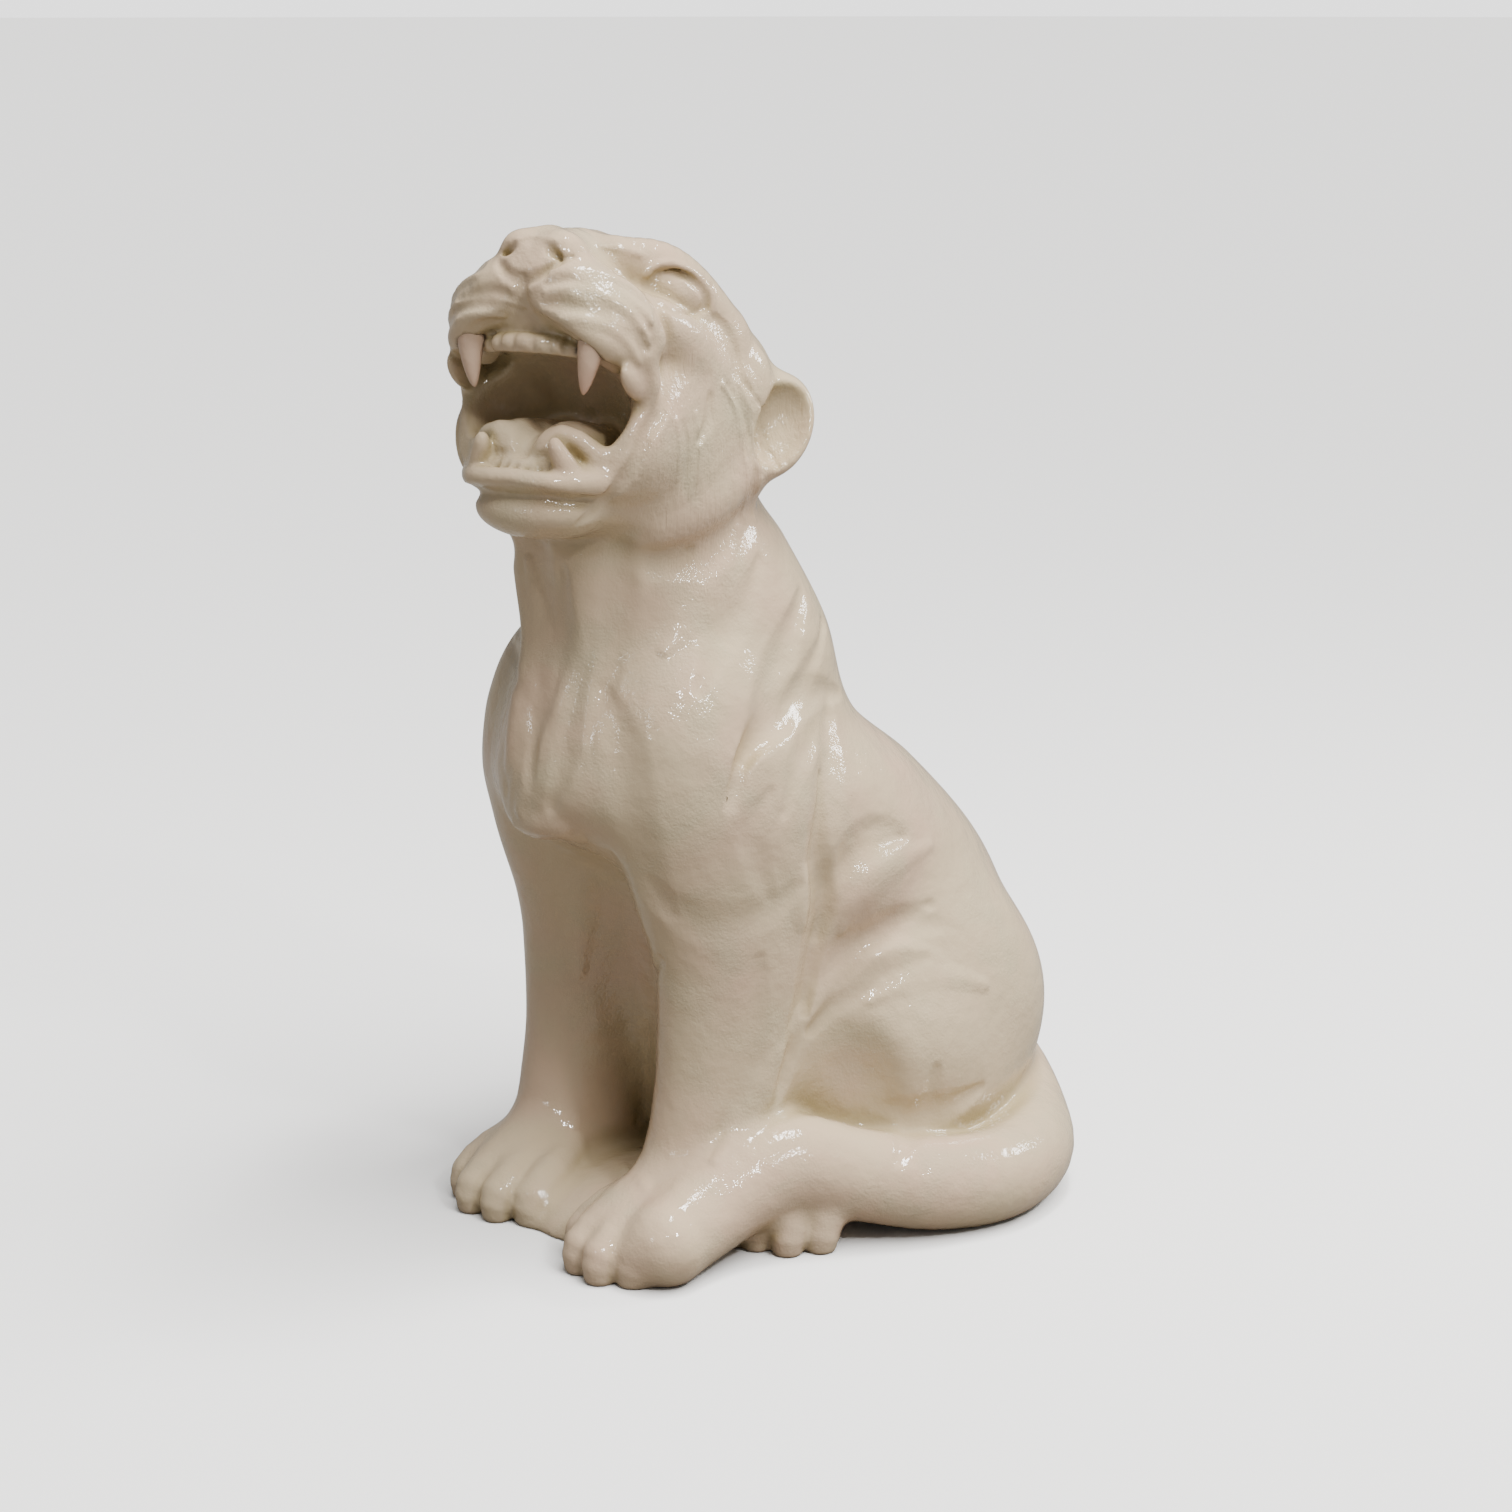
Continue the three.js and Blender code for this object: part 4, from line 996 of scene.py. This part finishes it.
# The joint between each upper fang and the gum is a dark line round the fang's root.
FANG_BASE = np.array([56.0, -118.0, -58.0])
FANG_TIP = np.array([51.0, -99.0, -92.0])
FANG_RADIUS = 11.5
fang_aim = (FANG_TIP - FANG_BASE) / np.linalg.norm(FANG_TIP - FANG_BASE)
from_base = np.column_stack([wide, along, up]) - FANG_BASE
down = from_base @ fang_aim
off = np.linalg.norm(from_base - down[:, None] * fang_aim, axis=1)
painted("seam", faded(np.abs(off - FANG_RADIUS), 3.2, 0.6) * faded(np.abs(down), 16, 10))

mesh.vertices.foreach_set("co", placed(clay_points, scale).astype(np.float32).ravel())
mesh.polygons.foreach_set("use_smooth", np.ones(len(mesh.polygons), bool))
mesh.update()
figure = bpy.data.objects.new("panther_figure", mesh)
bpy.context.scene.collection.objects.link(figure)


def linear(text):
    """An sRGB hex colour as linear red, green, blue and alpha."""
    parts = [int(text[i : i + 2], 16) / 255 for i in (0, 2, 4)]
    return [c / 12.92 if c < 0.04045 else ((c + 0.055) / 1.055) ** 2.4 for c in parts] + [1.0]


def add(tree, kind, inputs=(), **settings):
    """One node, with its settings, and each input a value or a link from a socket."""
    node = tree.nodes.new(kind)
    for name, value in settings.items():
        setattr(node, name, value)
    for key, value in dict(inputs).items():
        if isinstance(value, bpy.types.NodeSocket):
            tree.links.new(value, node.inputs[key])
        else:
            node.inputs[key].default_value = value
    return node


def new_material(name):
    material = bpy.data.materials.new(name)
    material.use_nodes = True
    material.node_tree.nodes.clear()
    return material


# Clear glaze over cream earthenware, dipped and fired: glossy, peeled like orange skin, a
# little greyer or more peach where it ran thin or thick, darker and more olive in the hollows, partly
# glaze gathered there and partly painted shade, with a few pinholes.
# The sizes of its patterns are in metres; the peel and the fur are drawn coarser than real ones,
# so that they show.
CLOUD, PATCH, WAVE, PEEL = 0.11, 0.06, 0.022, 0.0024
STRAND, STRAND_STRETCH = 0.0034, 0.06
PINHOLE_SPACING, PINHOLE_SHARE = 0.045, 0.55
WAVE_DEPTH, STRAND_DEPTH, PEEL_DEPTH = 0.0018, 0.0011, 0.00045
GLAZE_ROUGHNESS = 0.08
GLAZE_IOR = 1.52


def cream_glaze(name, clay, peach, grey, pool_and_shade):
    material = new_material(name)
    tree = material.node_tree
    place = add(tree, "ShaderNodeTexCoord").outputs["Object"]

    # the colour: cream to peach in clouds, greyer in patches
    cloud = add(tree, "ShaderNodeTexNoise", {"Vector": place, "Scale": 1 / CLOUD, "Detail": 2.0})
    patch = add(tree, "ShaderNodeTexNoise", {"Vector": place, "Scale": 1 / PATCH, "Distortion": 0.6})
    tint = add(tree, "ShaderNodeMapRange", {
        "Value": cloud.outputs["Fac"],
        "From Min": 0.4,
        "From Max": 0.65,
    })
    cool = add(tree, "ShaderNodeMapRange", {
        "Value": patch.outputs["Fac"],
        "From Min": 0.5,
        "From Max": 0.8,
        "To Max": 0.5,
    })
    warm = add(tree, "ShaderNodeMix", {
        0: tint.outputs["Result"],
        6: linear(clay),
        7: linear(peach),
    }, data_type="RGBA")
    glaze = add(tree, "ShaderNodeMix", {
        0: cool.outputs["Result"],
        6: warm.outputs[2],
        7: linear(grey),
    }, data_type="RGBA")

    # darker and more olive in the hollows, partly glaze that gathered there and partly painted shade, and
    # along the joint of each fang
    hollow = add(tree, "ShaderNodeAttribute", attribute_name="hollow")
    pooled_and_shaded = add(tree, "ShaderNodeMapRange", {
        "Value": hollow.outputs["Fac"],
        "From Min": 0.3,
        "From Max": 0.9,
        "To Max": 0.85,
    })
    deep = add(tree, "ShaderNodeMix", {
        0: pooled_and_shaded.outputs["Result"],
        6: glaze.outputs[2],
        7: linear(pool_and_shade),
    }, data_type="RGBA")
    seam = add(tree, "ShaderNodeAttribute", attribute_name="seam")
    lined = add(tree, "ShaderNodeMix", {
        0: seam.outputs["Fac"],
        6: deep.outputs[2],
        7: linear("5c4d38"),
    }, data_type="RGBA")

    # a few brown pinholes
    speck = add(tree, "ShaderNodeTexVoronoi", {"Vector": place, "Scale": 1 / PINHOLE_SPACING})
    tiny = add(tree, "ShaderNodeMapRange", {
        "Value": speck.outputs["Distance"],
        "From Min": 0.010,
        "From Max": 0.016,
        "To Min": 1.0,
        "To Max": 0.0,
    })
    rare = add(tree, "ShaderNodeMath", {
        0: speck.outputs["Color"],
        1: PINHOLE_SHARE,
    }, operation="GREATER_THAN")
    pinhole = add(tree, "ShaderNodeMath", {
        0: tiny.outputs["Result"],
        1: rare.outputs[0],
    }, operation="MULTIPLY")
    final = add(tree, "ShaderNodeMix", {
        0: pinhole.outputs[0],
        6: lined.outputs[2],
        7: linear("6b4a2c"),
    }, data_type="RGBA")

    # the surface: slow waves, strands of fur where it is scratched in, and the peel
    wave = add(tree, "ShaderNodeTexNoise", {"Vector": place, "Scale": 1 / WAVE, "Detail": 2.0})
    slow = add(tree, "ShaderNodeBump", {
        "Height": wave.outputs["Fac"],
        "Strength": 1.0,
        "Distance": WAVE_DEPTH,
    })
    strands = add(tree, "ShaderNodeVectorMath", {
        0: place,
        1: (1.0, 1.0, STRAND_STRETCH),
    }, operation="MULTIPLY")
    hair = add(tree, "ShaderNodeTexNoise", {
        "Vector": strands.outputs[0],
        "Scale": 1 / STRAND,
        "Distortion": 0.5,
    })
    fur = add(tree, "ShaderNodeAttribute", attribute_name="fur")
    furred = add(tree, "ShaderNodeBump", {
        "Height": hair.outputs["Fac"],
        "Strength": fur.outputs["Fac"],
        "Distance": STRAND_DEPTH,
        "Normal": slow.outputs[0],
    })
    peel = add(tree, "ShaderNodeTexNoise", {"Vector": place, "Scale": 1 / PEEL, "Detail": 1.0})
    peeled = add(tree, "ShaderNodeMapRange", {
        "Value": patch.outputs["Fac"],
        "From Min": 0.4,
        "From Max": 0.6,
        "To Min": 0.35,
    })
    bump = add(tree, "ShaderNodeBump", {
        "Height": peel.outputs["Fac"],
        "Strength": peeled.outputs["Result"],
        "Distance": PEEL_DEPTH,
        "Normal": furred.outputs[0],
    })
    shader = add(tree, "ShaderNodeBsdfPrincipled", {
        "Base Color": final.outputs[2],
        "Roughness": GLAZE_ROUGHNESS,
        "IOR": GLAZE_IOR,
        "Normal": bump.outputs[0],
    })
    add(tree, "ShaderNodeOutputMaterial", {"Surface": shader.outputs[0]})
    return material


mesh.materials.clear()
mesh.materials.append(cream_glaze("cream_glazed_ceramic", "bba88a", "bca288", "aba487", "9a8a64"))
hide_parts("panther_body")
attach(figure, "root")


# An upper fang is turned clay: a round tube along a slightly bent line, drawn in to a blunt point.
# Its width is its fullness times what is left of its length, raised to DRAWN_IN, at most the full
# width and at least BLUNT of it.
FANG_LINKS, FANG_SIDES = 64, 48
DRAWN_IN, BLUNT = 0.55, 0.03


def fang_tree(glaze):
    tree = bpy.data.node_groups.new("turned_fang", "GeometryNodeTree")
    sizes = {
        "Root": "Vector",
        "Bend": "Vector",
        "Tip": "Vector",
        "Radius": "Float",
        "Fullness": "Float",
    }
    for name, kind in sizes.items():
        tree.interface.new_socket(name, in_out="INPUT", socket_type="NodeSocket" + kind)
    tree.interface.new_socket("Geometry", in_out="OUTPUT", socket_type="NodeSocketGeometry")
    given = add(tree, "NodeGroupInput").outputs
    line = add(tree, "GeometryNodeCurveQuadraticBezier", {
        "Resolution": FANG_LINKS,
        "Start": given["Root"],
        "Middle": given["Bend"],
        "End": given["Tip"],
    })
    share = add(tree, "GeometryNodeSplineParameter").outputs["Factor"]
    left = add(tree, "ShaderNodeMath", {0: 1.0, 1: share}, operation="SUBTRACT").outputs[0]
    drawn = add(tree, "ShaderNodeMath", {0: left, 1: DRAWN_IN}, operation="POWER").outputs[0]
    full = given["Fullness"]
    cone = add(tree, "ShaderNodeMath", {0: drawn, 1: full}, operation="MULTIPLY").outputs[0]
    inner = add(tree, "ShaderNodeMath", {0: cone, 1: 1.0}, operation="MINIMUM").outputs[0]
    width = add(tree, "ShaderNodeMath", {0: inner, 1: BLUNT}, operation="MAXIMUM").outputs[0]
    ring = add(tree, "GeometryNodeCurvePrimitiveCircle", {
        "Resolution": FANG_SIDES,
        "Radius": given["Radius"],
    })
    tube = add(tree, "GeometryNodeCurveToMesh", {
        "Curve": line.outputs["Curve"],
        "Profile Curve": ring.outputs["Curve"],
        "Scale": width,
        "Fill Caps": True,
    })
    smooth = add(tree, "GeometryNodeSetShadeSmooth", {0: tube.outputs["Mesh"]})
    real = add(tree, "GeometryNodeRealizeInstances", {0: smooth.outputs[0]})
    glazed = add(tree, "GeometryNodeSetMaterial", {"Geometry": real.outputs[0], "Material": glaze})
    add(tree, "NodeGroupOutput", {"Geometry": glazed.outputs[0]})
    return tree


def made_by(name, tree, settings):
    """The result of a tree as a plain mesh, with each of its inputs set by name."""
    maker = bpy.data.objects.new(name + "_maker", bpy.data.meshes.new(name + "_maker"))
    bpy.context.scene.collection.objects.link(maker)
    modifier = maker.modifiers.new("tree", "NODES")
    modifier.node_group = tree
    for item in tree.interface.items_tree:
        if item.name in settings:
            modifier[item.identifier] = settings[item.name]
    finished = maker.evaluated_get(bpy.context.evaluated_depsgraph_get())
    result = bpy.data.meshes.new_from_object(finished)
    bpy.data.objects.remove(maker)
    piece = bpy.data.objects.new(name, result)
    bpy.context.scene.collection.objects.link(piece)
    return piece


def in_frame(side, point):
    """A point of the head's own frame, on its left or right side, in metres in the frame."""
    return placed(HEAD.outside(point * np.array([side, 1, 1])), scale).tolist()


# How far each fang reaches into the gum and out of it, how it bends, and how full it stays.
IN_GUM, OUT_OF_GUM = 12, 42
FANG_ROOT = FANG_BASE - IN_GUM * fang_aim
FANG_END = FANG_BASE + OUT_OF_GUM * fang_aim
FANG_BEND = (FANG_ROOT + FANG_END) / 2 + np.array([1.5, -4.0, -2.0])
FULLNESS = 1.17
tree = fang_tree(cream_glaze("cream_glazed_fang", "c0a58d", "c09a84", "b0a086", "7a6244"))
for side, name in ((1, "fang_left"), (-1, "fang_right")):
    fang = made_by("glazed_" + name, tree, {
        "Root": in_frame(side, FANG_ROOT),
        "Bend": in_frame(side, FANG_BEND),
        "Tip": in_frame(side, FANG_END),
        "Radius": FANG_RADIUS * scale * MM,
        "Fullness": FULLNESS,
    })
    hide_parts(name)
    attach(fang, "root")


# Stage, light and camera. The floor is paler to the camera than to the light it throws back.
FLOOR_REACH = 400


def pale_floor():
    material = new_material("pale_studio_floor")
    tree = material.node_tree
    seen = add(tree, "ShaderNodeLightPath").outputs["Is Camera Ray"]
    shade = add(tree, "ShaderNodeMix", {
        0: seen,
        6: linear("7d7973"),
        7: linear("f4f3f1"),
    }, data_type="RGBA")
    shader = add(tree, "ShaderNodeBsdfPrincipled", {
        "Base Color": shade.outputs[2],
        "Roughness": 0.9,
    })
    add(tree, "ShaderNodeOutputMaterial", {"Surface": shader.outputs[0]})
    return material


def studio_floor():
    mesh = bpy.data.meshes.new("studio_floor")
    corners = [(-1, -1), (1, -1), (1, 1), (-1, 1)]
    mesh.from_pydata([(FLOOR_REACH * x, FLOOR_REACH * y, 0) for x, y in corners], [], [(0, 1, 2, 3)])
    mesh.materials.append(pale_floor())
    floor = bpy.data.objects.new("studio_floor", mesh)
    bpy.context.scene.collection.objects.link(floor)
    return floor


studio_floor()


# A window or a panel of light, turned towards the figure; one that doesn't light the clay is
# only seen as a reflection in the glaze.
def panel_light(name, at, towards, size, watts, lights_clay=True):
    light = bpy.data.lights.new(name, "AREA")
    light.shape = "RECTANGLE"
    light.size, light.size_y = size
    light.energy = watts
    holder = bpy.data.objects.new(name, light)
    holder.location = at
    holder.visible_diffuse = lights_clay
    holder.rotation_euler = (Vector(towards) - Vector(at)).to_track_quat("-Z", "Y").to_euler()
    bpy.context.scene.collection.objects.link(holder)


AIM = (0, 0, 0.45)
panel_light("key_window", (2.4, -0.3, 2.3), AIM, (0.2, 0.28), 30)
panel_light("side_window", (1.9, -1.7, 2.3), AIM, (0.14, 0.3), 26, lights_clay=False)
panel_light("front_window", (0.2, -2.4, 1.3), AIM, (0.12, 0.45), 3)
panel_light("ceiling_panel", (0.3, 0.4, 2.8), AIM, (0.6, 0.3), 40)
panel_light("rear_panel", (0.9, 2.2, 1.8), AIM, (0.6, 0.4), 30)

# A wide soft light from high on the figure's left, even over the whole floor.
SKY_FROM = Vector((0.42, 0.06, 1.0))
soft_sky = bpy.data.lights.new("soft_sky", "SUN")
soft_sky.energy = 6.4
soft_sky.angle = math.radians(50)
sky_holder = bpy.data.objects.new("soft_sky", soft_sky)
sky_holder.rotation_euler = SKY_FROM.to_track_quat("Z", "Y").to_euler()
sky_holder.visible_glossy = False
bpy.context.scene.collection.objects.link(sky_holder)

# The studio's walls: dim to the figure, bright behind it.
WALL_LIGHT, WALL_SEEN = 0.3, 2.4
world = bpy.data.worlds.new("soft_studio")
world.use_nodes = True
tree = world.node_tree
tree.nodes.clear()
seen = add(tree, "ShaderNodeLightPath").outputs["Is Camera Ray"]
brightness = add(tree, "ShaderNodeMapRange", {
    "Value": seen,
    "To Min": WALL_LIGHT,
    "To Max": WALL_SEEN,
})
background = add(tree, "ShaderNodeBackground", {
    "Color": linear("f4f4f4"),
    "Strength": brightness.outputs["Result"],
})
add(tree, "ShaderNodeOutputWorld", {"Surface": background.outputs[0]})
bpy.context.scene.world = world

# The photograph's viewpoint, from the figure's front left and a little above; the lens and its
# small shift give the photograph's framing.
VIEW_TURN = math.radians(50)
VIEW_DROP = math.radians(13)
VIEW_FAR = 2.6 * scale
VIEW_HEIGHT = 430.0
aim = Vector(placed(np.array([0.0, 0.0, VIEW_HEIGHT]), scale))
away = Vector((
    math.sin(VIEW_TURN) * math.cos(VIEW_DROP),
    -math.cos(VIEW_TURN) * math.cos(VIEW_DROP),
    math.sin(VIEW_DROP),
))
lens = bpy.data.cameras.new("photo_camera")
lens.sensor_width = 36
lens.lens = 72.1
lens.shift_x = 0.0324
lens.shift_y = -0.0308
camera = bpy.data.objects.new("photo_camera", lens)
camera.location = aim + VIEW_FAR * away
camera.rotation_euler = (-away).to_track_quat("-Z", "Y").to_euler()
bpy.context.scene.collection.objects.link(camera)
bpy.context.scene.camera = camera
